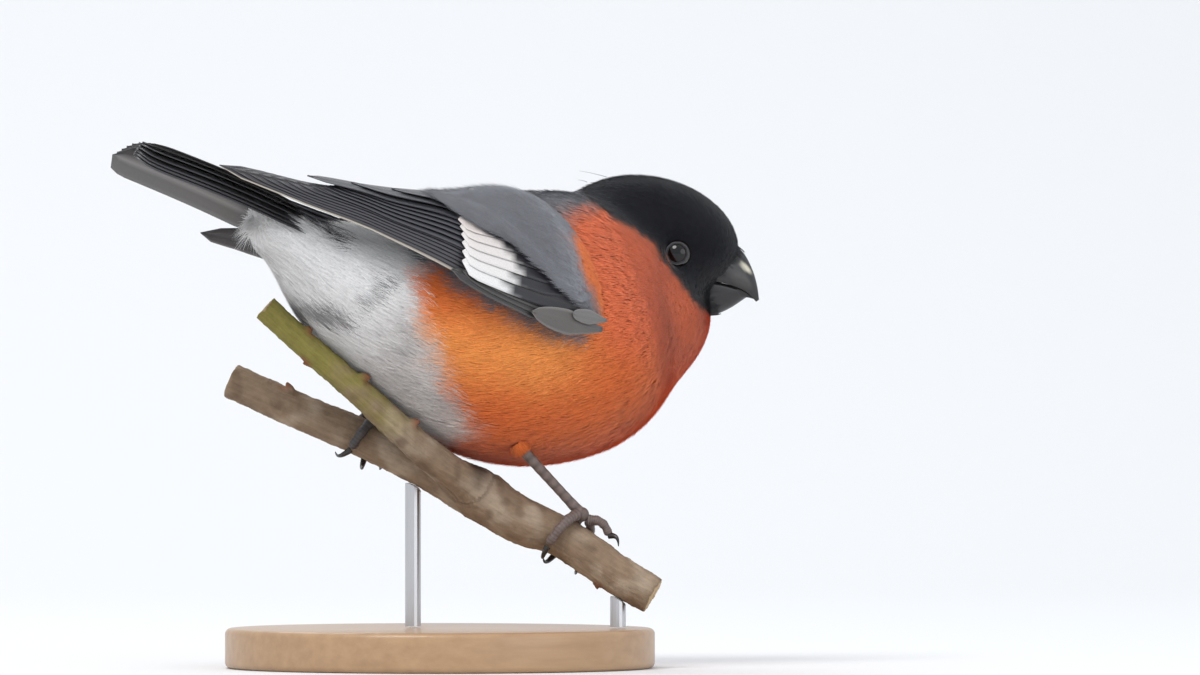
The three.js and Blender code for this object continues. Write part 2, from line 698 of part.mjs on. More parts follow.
// The ragged lip of bark in the crotch of the fork
function barkLip() {
  const path = [[-1.5, -1.5, 37.5], [1.5, -0.6, 37.6], [5, 0, 36.6], [9, -0.6, 33.4]].map((p) => seen(...p));
  return limb(path, (t) => 1.5 + 1.3 * Math.sin(Math.PI * t), 8, 1.1);
}

function perch() {
  const whole = joined([
    branch(branchCurve, MAIN_RADIUS),
    branch(forkCurve, FORK_RADIUS, 0, 10, 8),
    barkLip(),
    ...BUDS.map(bud),
  ]);
  return largest(whole.subtract(grownBody));
}

// Feet: each toe winds round the branch. turn is in degrees from the branch's top towards the viewer.
const toeOf = (name, shift, turn, clawTurn, clawShift, radius, arch = 0) =>
  ({ name, shift, turn, clawTurn, clawShift, radius, arch });
const FEET = {
  right: { at: 0.762, tilt: 8, toes: [
    toeOf("hind", [-0.6, -2.6], [22, 112], 160, -3.2, [1.15, 0.85]),
    toeOf("inner", [1.2, 5.2], [4, -4], 14, 7.6, [1.05, 0.8], 1.1),
    toeOf("middle", [-0.4, -1.4], [-28, -132], -186, -3.4, [1.05, 0.8]),
    toeOf("outer", [1.4, 3.4], [-24, -112], -158, 4.2, [1, 0.75]),
  ] },
  left: { at: 0.262, tilt: 6, toes: [
    toeOf("hind", [0.4, -1.2], [22, 118], 164, -4.2, [1.15, 0.85]),
    toeOf("inner", [1.4, 3.6], [-20, -104], -152, 4.2, [1, 0.75]),
    toeOf("middle", [-0.2, 0.6], [-28, -134], -184, 1.6, [1.05, 0.8]),
    toeOf("outer", [-1.4, -4.2], [-14, -92], -140, -5.2, [1, 0.75]),
  ] },
};
const ANKLE = { right: vec(7.5, -12, 43.5), left: vec(-8.5, 9.5, 54) };
const THIGH = { reach: 4.6, girth: 1 };
const branchLength = branchCurve.getLength();

// A point round the branch: shift along it in mm, turn round it, and height over its bark.
function onBranch(at, shift, turn, height) {
  const t = at + shift / branchLength;
  const along = branchCurve.getTangent(t);
  const top = vec(0, 0, 1).addScaledVector(along, -along.z).normalize();
  const near = top.clone().cross(along).normalize();
  if (near.dot(AWAY) > 0) near.negate();
  const out = valueAlong(MAIN_RADIUS, t) + height;
  return branchCurve.getPoint(t)
    .addScaledVector(top, out * Math.cos(rad(turn)))
    .addScaledVector(near, out * Math.sin(rad(turn)));
}

const BARK_ROOM = 0.62; // bark's ripple and the gap

const TOE_SIDE = AWAY.clone().add(vec(0.1, 0.2, 0.3)).normalize();

function toe(at, { shift, turn, radius, arch = 0 }) {
  const path = [];
  for (let i = 0; i <= 7; i++) {
    const t = i / 7;
    const own = lerp(radius[0], radius[1], t);
    const height = BARK_ROOM + own + arch * Math.sin(Math.PI * t);
    path.push(onBranch(at, lerp(shift[0], shift[1], t), lerp(turn[0], turn[1], t), height));
  }
  const pads = (t) => lerp(radius[0], radius[1], t) * (1 + 0.07 * Math.cos(t * 7 * Math.PI));
  return limb(path, pads, 8, 1, TOE_SIDE);
}

function claw(at, { shift, turn, clawTurn, clawShift, radius }) {
  const path = [];
  const sweep = clawTurn - turn[1];
  const room = BARK_ROOM + radius[1];
  for (let i = 0; i <= 4; i++) {
    const t = i / 4;
    const height = room + 0.9 * Math.sin(Math.PI * t * 0.85) - (room - 0.7) * t ** 2;
    path.push(onBranch(at, lerp(shift[1], clawShift, t), turn[1] + sweep * (0.1 + 0.9 * t), height));
  }
  return limb(path, (t) => lerp(0.66, 0.16, t ** 1.2), 5, 1, TOE_SIDE);
}

function foot(name) {
  const { at, tilt, toes } = FEET[name];
  const perchFoot = onBranch(at, 0, tilt, BARK_ROOM + 1.35);
  const ankle = ANKLE[name];
  const solids = {};
  const shank = limb(
    curvePoints([ankle, ankle.clone().lerp(perchFoot, 0.5), perchFoot], 5),
    (t) => lerp(1.15, 1, t) + 0.35 * t ** 6,
    8,
    0.85,
    AWAY,
  );
  const pad = ball(perchFoot, 1.7, 10);
  const toeSolids = toes.map((one) => toe(at, one));
  const footSolid = largest(joined([shank, pad, ...toeSolids]).subtract(grownBody));
  solids[`foot_${name}`] = footSolid;
  for (const one of toes) {
    const wide = ball(toeEnd(at, one), one.radius[1] + GAP, 8);
    const grownToe = grownToeOf(at, one);
    solids[`claw_${name}_${one.name}`] = largest(claw(at, one).subtract(joined([grownToe, wide])));
  }
  return solids;
}

const toeEnd = (at, { shift, turn, radius }) => onBranch(at, shift[1], turn[1], BARK_ROOM + radius[1]);
const grownToeOf = (at, one) =>
  toe(at, { ...one, radius: one.radius.map((r) => r + GAP) });

// Tufts of the thigh where each shank leaves the belly
function thigh(name, grownPerch) {
  const ankle = ANKLE[name];
  const down = onBranch(FEET[name].at, 0, FEET[name].tilt, 0).sub(ankle).normalize();
  const leaves = ankle.clone();
  while (plumage(leaves) < 0) leaves.addScaledVector(down, 0.1);
  const { reach, girth } = THIGH;
  const path = [-4.5, 0, 0.4, 0.8, 1].map((share) =>
    leaves.clone().addScaledVector(down, share < 0 ? share : reach * share),
  );
  const bare = [3.6, 3.3, 2.9, 2.1, 1.7].map((radius) => radius * girth);
  const tuft = limb(path, (t) => bare[Math.round(t * 4)], 9, 1, AWAY);
  const boreEnds = [path[0].clone().addScaledVector(down, -3), path[4].clone().addScaledVector(down, 3)];
  const bore = limb(boreEnds, () => 1.65, 9, 1, AWAY);
  return largest(tuft.subtract(joined([grownBody, grownPerch, bore])));
}

// Stand
function standBase() {
  const { radius, height, edge } = STAND;
  const profile = [
    [0, 0], [radius - edge, 0], [radius, edge], [radius, height - 2 * edge],
    [radius - 0.6 * edge, height - 0.6 * edge], [radius - 2 * edge, height], [0, height],
  ].map(([x, y]) => new THREE.Vector2(x, y));
  const disc = new THREE.LatheGeometry(profile, 32).rotateX(Math.PI / 2);
  const centre = seen(STAND.right, STAND.away, 0);
  return solidFromGeometry(disc.translate(centre.x, centre.y, 0));
}

function rod(at, grownPerch) {
  const top = branchCurve.getPoint(at);
  const post = new THREE.CylinderGeometry(ROD_RADIUS, ROD_RADIUS, top.z - STAND.height - GAP, 16);
  post.rotateX(Math.PI / 2).translate(top.x, top.y, (top.z + STAND.height + GAP) / 2);
  return largest(solidFromGeometry(post).subtract(grownPerch));
}

// Assembly
const COLOURS = {
  bill: 0x22201f, eye: 0x0b0908, cap: 0x17171c, breast: 0xd9622f, torso: 0xd9622f, rump: 0xe8e8ea,
  wing: 0x26262c, tail: 0x222228, foot: 0x4a3d38, claw: 0x1e1a1c, thigh: 0xc9c4c2,
  bark: 0x8a7355, stand: 0xb98d5c, rod: 0x9a9a9c,
};
const FINISH = {
  bill: [0.35, 0], eye: [0.05, 0], foot: [0.6, 0], claw: [0.3, 0], rod: [0.3, 1], stand: [0.45, 0],
  wing: [0.5, 0], tail: [0.5, 0],
};

const solids = {};
const eyeSockets = joined([1, -1].map((side) => ball(eyeAt(side), EYE_RADIUS + GAP + 0.1, 12)));
const headWhole = joined([ahead(head, cutPlanes.cap), lids(1), lids(-1)]).subtract(eyeSockets);
solids.head = largest(headWhole);
solids.neck = largest(ahead(behind(body, cutPlanes.cap), cutPlanes.shoulder));
solids.torso = largest(ahead(behind(body, cutPlanes.shoulder), cutPlanes.rump));
solids.rump = largest(behind(body, cutPlanes.rump));
const grownPerch = branch(branchCurve, MAIN_RADIUS, GAP + 0.28);
solids.eye_left = ball(eyeAt(1), EYE_RADIUS, 14);
solids.eye_right = ball(eyeAt(-1), EYE_RADIUS, 14);
Object.assign(solids, bills(grownHead));
solids.wing_right = wing(-1);
solids.wing_left = wing(1);
solids.tail = tail();
Object.assign(solids, foot("right"), foot("left"));
solids.thigh_right = thigh("right", grownPerch);
solids.perch = perch();
solids.stand_base = standBase();
solids.stand_rod_rear = rod(0.36, grownPerch);
solids.stand_rod_front = rod(0.87, grownPerch);

const MATERIAL_OF = [
  ["stand_rod", "rod"], ["stand", "stand"], ["perch", "bark"], ["bill", "bill"], ["eye", "eye"],
  ["head", "cap"], ["neck", "breast"], ["torso", "torso"], ["rump", "rump"], ["wing", "wing"],
  ["tail", "tail"], ["foot", "foot"], ["claw", "claw"], ["thigh", "thigh"],
];

const materials = new Map();
function materialFor(name) {
  const [, kind] = MATERIAL_OF.find(([start]) => name.startsWith(start));
  if (!materials.has(kind)) {
    const [roughness, metalness] = FINISH[kind] ?? [0.8, 0];
    materials.set(kind, new THREE.MeshStandardMaterial({ color: COLOURS[kind], roughness, metalness }));
  }
  return materials.get(kind);
}

const bullfinch = new THREE.Group();
for (const [name, solid] of Object.entries(solids)) {
  const mesh = new THREE.Mesh(geometryOf(solid), materialFor(name));
  mesh.name = name;
  bullfinch.add(mesh);
}

// The origin is the middle of the bounding box, on the floor
const bounds = new THREE.Box3().setFromObject(bullfinch);
const middle = bounds.getCenter(vec(0, 0, 0));
bullfinch.position.set(-middle.x, -middle.y, -bounds.min.z);

export default bullfinch;
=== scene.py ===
"""A male bullfinch, life size and still, on a short cut length of forked branch.

Shapes are worked out in the bird's own millimetres (+X forward, +Y to its left, +Z up from the floor)
and moved into the row's frame as each mesh is made.
"""

import math

import bmesh
import bpy
import numpy as np
from mathutils import Matrix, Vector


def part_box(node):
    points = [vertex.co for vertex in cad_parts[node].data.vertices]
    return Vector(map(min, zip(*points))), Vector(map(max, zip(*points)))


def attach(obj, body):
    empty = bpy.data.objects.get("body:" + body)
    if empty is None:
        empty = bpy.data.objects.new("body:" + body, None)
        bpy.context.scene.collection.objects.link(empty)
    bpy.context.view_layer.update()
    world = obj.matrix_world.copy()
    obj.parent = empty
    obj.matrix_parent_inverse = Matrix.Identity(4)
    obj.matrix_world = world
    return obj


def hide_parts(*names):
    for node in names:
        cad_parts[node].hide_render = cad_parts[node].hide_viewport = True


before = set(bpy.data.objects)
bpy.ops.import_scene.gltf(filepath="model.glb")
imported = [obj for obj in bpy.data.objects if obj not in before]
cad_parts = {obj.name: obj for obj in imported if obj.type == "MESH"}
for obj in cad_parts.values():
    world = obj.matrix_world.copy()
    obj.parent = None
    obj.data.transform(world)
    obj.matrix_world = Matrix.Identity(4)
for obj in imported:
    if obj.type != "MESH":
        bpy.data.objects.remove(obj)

bl_info = {
    "name": "Bullfinch on a Branch",
    "version": (1, 0, 0),
    "blender": (4, 5, 0),
    "location": "View3D > Sidebar > Bullfinch",
    "description": "Builds a life-size male bullfinch with its plumage, on a cut branch and a stand",
    "category": "Add Mesh",
}

HEADING = math.radians(32)
RIGHT = np.array([math.cos(HEADING), -math.sin(HEADING), 0.0])
AWAY = np.array([math.sin(HEADING), math.cos(HEADING), 0.0])
UP = np.array([0.0, 0.0, 1.0])


def seen(right, away, up):
    """A point given from the broadside view: to the right, away from the viewer, and up."""
    right, away, up = np.broadcast_arrays(*(np.asarray(v, float) for v in (right, away, up)))
    return right[..., None] * RIGHT + away[..., None] * AWAY + up[..., None] * UP


STAND_RIGHT = -4.0  # where the middle of the stand lies in the broadside view, in mm
BASE_RADIUS, BASE_HEIGHT, BASE_EDGE = 42.99, 8.0, 1.2


def stand_shift():
    """How far the row's frame lies from the bird's own in mm, from the middle of the round base."""
    low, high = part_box("stand_base")
    centre = (np.array(low) + np.array(high)) * 500
    return centre * [1, 1, 0] - seen(STAND_RIGHT, 0.0, 0.0)


SHIFT = stand_shift()


# Small helpers for vectors and numbers


def unit(v):
    return v / np.maximum(np.linalg.norm(v, axis=-1, keepdims=True), 1e-9)


def dot(a, b):
    return (a * b).sum(-1)


def lerp(a, b, t):
    return a + (b - a) * t


def smooth(low, high, x):
    t = np.clip((x - low) / (high - low), 0, 1)
    return t * t * (3 - 2 * t)


def axes_of(pitch, turn):
    """Forward, left and up of something with that pitch and turn in degrees."""
    p, t = math.radians(pitch), math.radians(turn)
    forward = np.array([math.cos(t) * math.cos(p), math.sin(t) * math.cos(p), math.sin(p)])
    left = np.array([-math.sin(t), math.cos(t), 0.0])
    return forward, left, np.cross(forward, left)


def turned(v, axis, angle):
    """v turned about a unit axis by an angle in radians."""
    c, s = np.cos(angle), np.sin(angle)
    if np.ndim(c):
        c, s = c[..., None], s[..., None]
    return v * c + np.cross(axis, v) * s + axis * dot(axis, v)[..., None] * (1 - c)


def noise(points, seed=0):
    """Smooth noise from -1 to 1 at points whose unit is the noise's own cell."""
    cell = np.floor(points).astype(np.int64)
    part = points - cell
    part = part * part * (3 - 2 * part)
    total = 0
    for i in (0, 1):
        for j in (0, 1):
            for k in (0, 1):
                n = (cell[..., 0] + i) * 374761393 + (cell[..., 1] + j) * 668265263
                n = (n + (cell[..., 2] + k) * 2147483647 + seed * 974634777) & 0xFFFFFFFF
                n = ((n ^ (n >> 13)) * 1274126177) & 0xFFFFFFFF
                value = ((n ^ (n >> 16)) & 0xFFFF) / 32767.5 - 1
                weight = np.abs(1 - i - part[..., 0]) * np.abs(1 - j - part[..., 1])
                weight = weight * np.abs(1 - k - part[..., 2])
                total = total + value * weight
    return total


class Path:
    """A centripetal Catmull-Rom curve through points."""

    def __init__(self, points):
        self.points = np.array(points, float)

    def at(self, t):
        p, count = self.points, len(self.points)
        place = np.clip(np.asarray(t, float), 0, 1) * (count - 1)
        i = np.minimum(np.floor(place).astype(int), count - 2)
        w = (place - i)[..., None]
        ends = np.vstack([2 * p[0] - p[1], p, 2 * p[-1] - p[-2]])
        a, b, c, d = (ends[i + k] for k in range(4))
        gaps = [
            np.maximum(dot(y - x, y - x)[..., None], 1e-12) ** 0.25 for x, y in ((a, b), (b, c), (c, d))
        ]
        m1 = ((b - a) / gaps[0] - (c - a) / (gaps[0] + gaps[1]) + (c - b) / gaps[1]) * gaps[1]
        m2 = ((c - b) / gaps[1] - (d - b) / (gaps[1] + gaps[2]) + (d - c) / gaps[2]) * gaps[1]
        return b + m1 * w + (-3 * b + 3 * c - 2 * m1 - m2) * w**2 + (2 * b - 2 * c + m1 + m2) * w**3

    def tangent(self, t):
        step = 1e-4
        t = np.clip(np.asarray(t, float), step, 1 - step)
        return unit(self.at(t + step) - self.at(t - step))

    def length(self):
        line = self.at(np.linspace(0, 1, 201))
        return np.linalg.norm(np.diff(line, axis=0), axis=1).sum()


def along_values(values, t):
    """Values spread evenly from 0 to 1 and eased between."""
    values = np.asarray(values, float)
    place = np.clip(t, 0, 1) * (len(values) - 1)
    i = np.minimum(np.floor(place).astype(int), len(values) - 2)
    f = place - i
    return lerp(values[i], values[i + 1], f * f * (3 - 2 * f))


# The form of the plumage

# centre, radii (along, aside, up), pitch and turn in degrees, and how far the form melts in
FORMS = (
    ((10.6, 0, 67.8), (36.3, 26, 27), -13.9, 0, 0),  # belly
    ((-20.1, 0, 73.3), (21.3, 16, 12.9), -31.6, 0, 8),  # vent
    ((-34.9, 0, 82.9), (14.9, 9, 6.3), -27.2, 0, 6),  # under tail
    ((28, -2, 67), (17.5, 21.5, 18.4), -1, -16, 10),  # breast
    ((26.5, -1.2, 80), (20.2, 15.5, 14.7), -5.1, -20, 8),  # neck
    ((43.2, -5.1, 70.6), (11, 12.5, 12.2), 0.3, -25, 6),  # throat
    ((43.1, -2.6, 86.2), (18.3, 13, 12.6), -12.9, -32, 4),  # skull
)
SKULL_CENTRE = np.array(FORMS[-1][0], float)
SKULL = axes_of(FORMS[-1][2], FORMS[-1][3])


def plumage(points):
    """Signed distance in mm to the outside of the plumage."""
    distance = np.full(points.shape[:-1], 1e6)
    for centre, radii, pitch, turn, melt in FORMS:
        local = np.stack([dot(points - centre, axis) for axis in axes_of(pitch, turn)], -1)
        scaled = np.linalg.norm(local / radii, axis=-1)
        slope = np.linalg.norm(local / np.square(radii), axis=-1)
        own = scaled * (scaled - 1) / np.maximum(slope, 1e-9)
        near = np.maximum(melt - np.abs(distance - own), 0) / melt if melt else 0
        distance = np.minimum(distance, own) - near * near * melt / 4
    return distance


def slope_of(field, points, step=0.1):
    slope = np.empty_like(points)
    for axis in range(3):
        move = np.zeros(3)
        move[axis] = step
        slope[..., axis] = (field(points + move) - field(points - move)) / (2 * step)
    return slope


def in_head(along, aside, up):
    return SKULL_CENTRE + along * SKULL[0] + aside * SKULL[1] + up * SKULL[2]


BILL_BASE = in_head(14.7, 0.0, -6.4)


def coat_depth(points):
    """How deep the skin lies under the outside of the plumage."""
    return lerp(0.45, 1.3, smooth(8, 34, np.linalg.norm(points - BILL_BASE, axis=-1)))


EYE_RADIUS, EYE_AHEAD, EYE_BELOW, EYE_PROUD = 2.9, 6.1, 1.9, 0.85


def cheek_at(side):
    reach = np.arange(8, 16, 0.02)
    points = in_head(EYE_AHEAD, 0, -EYE_BELOW) + side * reach[:, None] * SKULL[1]
    return points[np.argmax(plumage(points) >= 0)]


CHEEK = {side: cheek_at(side) for side in (1, -1)}
EYES = {side: CHEEK[side] + SKULL[1] * side * (EYE_PROUD - EYE_RADIUS) for side in (1, -1)}


def skin_field(points):
    distance = plumage(points) + coat_depth(points)
    for eye in EYES.values():
        distance = np.maximum(distance, EYE_RADIUS + 0.12 - np.linalg.norm(points - eye, axis=-1))
    return distance


def surface_of(field, low, high, cell):
    """Points and quads of the surface where a field crosses zero, one point in each cell it crosses."""
    low = np.asarray(low, float)
    count = np.ceil((np.asarray(high) - low) / cell).astype(int) + 1
    grid = np.stack(
        np.meshgrid(*(low[a] + cell * np.arange(count[a]) for a in range(3)), indexing="ij"), -1
    )
    values = np.empty(count)
    for i in range(0, count[0], 16):
        values[i : i + 16] = field(grid[i : i + 16])
    within = values < 0
    number = np.full(count - 1, -1)
    total, hits = np.zeros((*(count - 1), 3)), np.zeros(count - 1)
    quads = []
    for axis in range(3):
        a, b = (axis + 1) % 3, (axis + 2) % 3
        first = [slice(None)] * 3
        second = [slice(None)] * 3
        first[axis], second[axis] = slice(0, -1), slice(1, None)
        crossing = within[tuple(first)] != within[tuple(second)]
        where = np.argwhere(crossing)
        v0, v1 = values[tuple(first)][crossing], values[tuple(second)][crossing]
        place = low + cell * where.astype(float)
        place[:, axis] += cell * v0 / (v0 - v1)
        ring = []
        for da, db in ((0, 0), (1, 0), (1, 1), (0, 1)):
            cells = where.copy()
            cells[:, a] -= da
            cells[:, b] -= db
            ring.append(cells)
            fits = ((cells >= 0) & (cells < count - 1)).all(1)
            at = tuple(cells[fits].T)
            np.add.at(total, at, place[fits])
            np.add.at(hits, at, 1)
        quads.append((np.stack(ring, 1), within[tuple(first)][crossing]))
    used = hits > 0
    number[used] = np.arange(used.sum())
    points = total[used] / hits[used][:, None]
    for _ in range(2):
        slope = slope_of(field, points, 0.05)
        points -= slope * (field(points) / np.maximum(dot(slope, slope), 0.3))[:, None]
    faces = []
    for ring, forward in quads:
        index = number[tuple(np.moveaxis(ring, -1, 0))]
        index[~forward] = index[~forward][:, ::-1]
        faces.append(index)
    return points, np.vstack(faces)


# Markings


COLOURS = {
    "cap": (0.0072, 0.0073, 0.0118),
    "cheek": (0.76, 0.180, 0.066),
    "breast": (0.80, 0.195, 0.046),
    "flank": (0.90, 0.345, 0.085),
    "mantle": (0.210, 0.213, 0.232),
    "white": (0.86, 0.85, 0.84),
    "belly": (0.70, 0.67, 0.65),
    # the colour of the painted shade on the white plumage
    "painted_shade": (0.11, 0.105, 0.11),
}

# Where the markings lie. The cap is drawn as right and up in the head's broadside view
CAP = (
    (25.5, 99.4), (27.2, 96.4), (28.4, 92.8), (31.8, 89.6), (36.0, 87.4), (39.0, 84.8), (40.8, 81.8),
    (43.4, 78.9), (45.4, 76.0), (46.8, 73.6), (48.8, 71.9), (51.0, 71.3), (90.0, 71.2), (90.0, 130.0),
    (25.5, 130.0),
)  # fmt: skip
# The mantle and the white hind part are drawn as x and z from the body's side
MANTLE = (
    (40.0, 93.4), (33.0, 92.8), (29.4, 92.0), (26.4, 91.0), (22.4, 89.8), (18.6, 88.0), (12.9, 84.8),
    (11.2, 79.8), (14.3, 74.6), (16.6, 69.6), (17.6, 66.2), (8.0, 68.4), (-3.0, 72.5), (-12.0, 79.0),
    (-20.0, 85.0), (-60.0, 100.0), (-60.0, 130.0), (40.0, 130.0),
)  # fmt: skip
HIND = (
    (4.0, 90.0), (-8.0, 82.0), (-15.6, 77.0), (-15.2, 71.6), (-13.2, 65.6), (-9.8, 59.6), (-5.6, 53.6),
    (-0.7, 48.6), (2.6, 45.8), (1.0, 43.8), (-5.2, 43.6), (-12.0, 43.0), (-90.0, 30.0), (-90.0, 120.0),
    (4.0, 120.0),
)  # fmt: skip
# Patches of painted shade on the white: right, up, length, width, slope and depth of each
SHADE_PATCHES = (
    (-10.8, 73.4, 3.0, 1.3, 0.9, 0.85),
    (-22.0, 67.0, 6.0, 1.5, -0.25, 0.75),
    (-14.0, 70.2, 2.6, 0.8, 0.2, 0.5),
)
# The black over the root of the tail starts at this x and lies above a line that slopes down to the front
RUMP_BLACK = {"x": -26.4, "z": 82.2, "slope": -0.735, "half": 13.2}


def inside(region, points):
    """Signed distance to the edge of a closed region in the plane, positive inside."""
    region = np.asarray(region, float)
    best = np.full(len(points), 1e9)
    odd = np.zeros(len(points), bool)
    for a, b in zip(region, np.roll(region, -1, 0)):
        along = b - a
        t = np.clip(dot(points - a, along) / dot(along, along), 0, 1)
        best = np.minimum(best, np.linalg.norm(points - a - t[:, None] * along, axis=-1))
        if a[1] != b[1]:
            crossing = a[0] + (points[:, 1] - a[1]) * along[0] / along[1]
            odd ^= ((a[1] > points[:, 1]) != (b[1] > points[:, 1])) & (points[:, 0] < crossing)
    return np.where(odd, best, -best)


def blend(base, colour, share):
    return base + (np.asarray(colour) - base) * share[:, None]


def marking(points, ragged=1.0):
    """Linear colour of the plumage at points, in mm."""
    x, y, z = points.T
    half = np.abs(y)
    wobble = noise(points * 0.45, 3) * 1.1 * ragged + noise(points * 1.3, 4) * 0.5 * ragged
    view = np.stack([dot(points, RIGHT), z], -1)
    near = x * RIGHT[0] - half * RIGHT[1]
    side = np.stack([x, z], -1)
    colour = np.tile(np.asarray(COLOURS["breast"], float), (len(points), 1))
    colour = blend(colour, COLOURS["cheek"], smooth(10, 24, x) * smooth(60, 71, z + 0.25 * (x - 20)))
    colour = blend(colour, COLOURS["flank"], smooth(26, 8, x) * smooth(50, 62, z) * smooth(75, 64, z))
    rear = smooth(-2.2, 2.6, inside(HIND, side) + wobble * 1.5)
    pale = np.tile(np.asarray(COLOURS["white"], float), (len(points), 1))
    pale = blend(pale, COLOURS["belly"], smooth(-25, -15, x) * smooth(78, 66, z))
    # Painted shade on the white: darker streaks low at the rear, and the listed patches, blended towards the
    # shade colour
    streak = noise(np.stack([x * 0.25 + z * 0.1, y * 0.7, z * 0.75 + x * 0.2], -1), 9)
    shade = 0.34 * smooth(0.1, 0.8, streak) * smooth(-27, -14, x) * smooth(76, 64, z)
    for right, up, long, wide, slope, depth in SHADE_PATCHES:
        a, b = near - right, z - up
        turn = math.atan(slope)
        a, b = a * math.cos(turn) + b * math.sin(turn), b * math.cos(turn) - a * math.sin(turn)
        shade = np.maximum(shade, depth * smooth(1.3, 0.5, np.hypot(a / long, b / wide) + 0.3 * wobble))
    colour = colour * (1 - rear)[:, None] + blend(pale, COLOURS["painted_shade"], shade) * rear[:, None]
    back = smooth(-2.0, 2.0, inside(MANTLE, side) + wobble)
    white_rump = smooth(-13, -17, x + wobble)
    colour = blend(colour, COLOURS["mantle"], back * (1 - white_rump))
    colour = blend(colour, COLOURS["white"], back * white_rump)
    behind = x - RUMP_BLACK["x"]
    tail_front = smooth(0.6, -0.6, behind + (RUMP_BLACK["half"] - half) * 0.25 + 0.6 * wobble)
    above = z - RUMP_BLACK["z"] - RUMP_BLACK["slope"] * behind
    colour = blend(colour, COLOURS["cap"], tail_front * smooth(-0.4, 0.6, above + 0.3 * wobble))
    cap = inside(CAP, view) + wobble * 0.45
    return blend(colour, COLOURS["cap"], smooth(-0.5, 0.5, cap) * smooth(22, 24, view[:, 0]))


# Meshes and materials


def new_object(name, mesh):
    obj = bpy.data.objects.new(name, mesh)
    bpy.context.scene.collection.objects.link(obj)
    return obj


def mesh_from(name, points, faces, colours=None, uvs=None, smooth_shade=True):
    """A mesh from mm points, arrays of faces of one size each, and per-point colours and named UV maps."""
    mesh = bpy.data.meshes.new(name)
    sizes = np.concatenate([np.full(len(f), f.shape[1]) for f in faces])
    corners = np.concatenate([f.ravel() for f in faces]).astype(np.int32)
    mesh.vertices.add(len(points))
    mesh.vertices.foreach_set("co", ((points + SHIFT) / 1000).astype(np.float32).ravel())
    mesh.loops.add(len(corners))
    mesh.loops.foreach_set("vertex_index", corners)
    mesh.polygons.add(len(sizes))
    mesh.polygons.foreach_set("loop_start", (np.cumsum(sizes) - sizes).astype(np.int32))
    mesh.update(calc_edges=True)
    mesh.polygons.foreach_set("use_smooth", np.full(len(sizes), smooth_shade))
    if colours is not None:
        layer = mesh.color_attributes.new("Colour", "FLOAT_COLOR", "POINT")
        rgba = np.ones((len(points), 4), np.float32)
        rgba[:, :3] = colours
        layer.data.foreach_set("color", rgba.ravel())
    for key, values in (uvs or {}).items():
        layer = mesh.uv_layers.new(name=key)
        layer.data.foreach_set("uv", np.asarray(values, np.float32)[corners].ravel())
    if mesh.validate(verbose=False):
        mesh.update()
    return mesh


def grid_faces(rows, columns, closed=True):
    """Quads of a grid of points, rows by columns, whose columns close into a ring."""
    i, j = np.meshgrid(np.arange(rows - 1), np.arange(columns if closed else columns - 1), indexing="ij")
    i, j = i.ravel(), j.ravel()
    k = (j + 1) % columns
    return np.stack([i * columns + j, i * columns + k, (i + 1) * columns + k, (i + 1) * columns + j], -1)


class Pile:
    """Collects shapes into one mesh."""

    def __init__(self):
        self.points, self.colours, self.faces, self.uvs, self.count = [], [], [], {}, 0

    def add(self, points, faces, colours, **uvs):
        points = points.reshape(-1, 3)
        self.points.append(points)
        self.colours.append(
            np.broadcast_to(colours, points.shape) if np.ndim(colours) == 1 else colours.reshape(-1, 3)
        )
        self.faces += [f + self.count for f in faces]
        for key, values in uvs.items():
            self.uvs.setdefault(key, []).append(np.asarray(values).reshape(-1, 2))
        self.count += len(points)

    def loft(self, rings, colours, **uvs):
        """A closed skin over rings of points, with fans at both ends."""
        rows, columns = rings.shape[:2]
        start, end = rings[0].mean(0), rings[-1].mean(0)
        points = np.vstack([rings.reshape(-1, 3), start, end])
        if np.ndim(colours) > 1:
            flat = colours.reshape(-1, 3)
            colours = np.vstack([flat, flat[0], flat[-1]])
        ends = {
            k: np.vstack([np.asarray(v).reshape(-1, 2), np.asarray(v).reshape(-1, 2)[[0, -1]]])
            for k, v in uvs.items()
        }
        j = np.arange(columns)
        k = (j + 1) % columns
        last = (rows - 1) * columns
        caps = np.vstack([
            np.stack([k, j, np.full(columns, rows * columns)], -1),
            np.stack([last + j, last + k, np.full(columns, rows * columns + 1)], -1),
        ])
        self.add(points, [grid_faces(rows, columns), caps], colours, **ends)

    def finish(self, name):
        sized = {}
        for f in self.faces:
            sized.setdefault(f.shape[1], []).append(f)
        faces = [np.vstack(group) for group in sized.values()]
        uvs = {k: np.vstack(v) for k, v in self.uvs.items()}
        mesh = mesh_from(name, np.vstack(self.points), faces, np.vstack(self.colours), uvs)
        outward(mesh)
        return new_object(name, mesh)


def outward(mesh):
    """Turns a closed mesh right way out if its volume comes out negative."""
    work = bmesh.new()
    work.from_mesh(mesh)
    if work.calc_volume(signed=True) < 0:
        bmesh.ops.reverse_faces(work, faces=work.faces)
        work.to_mesh(mesh)
    work.free()


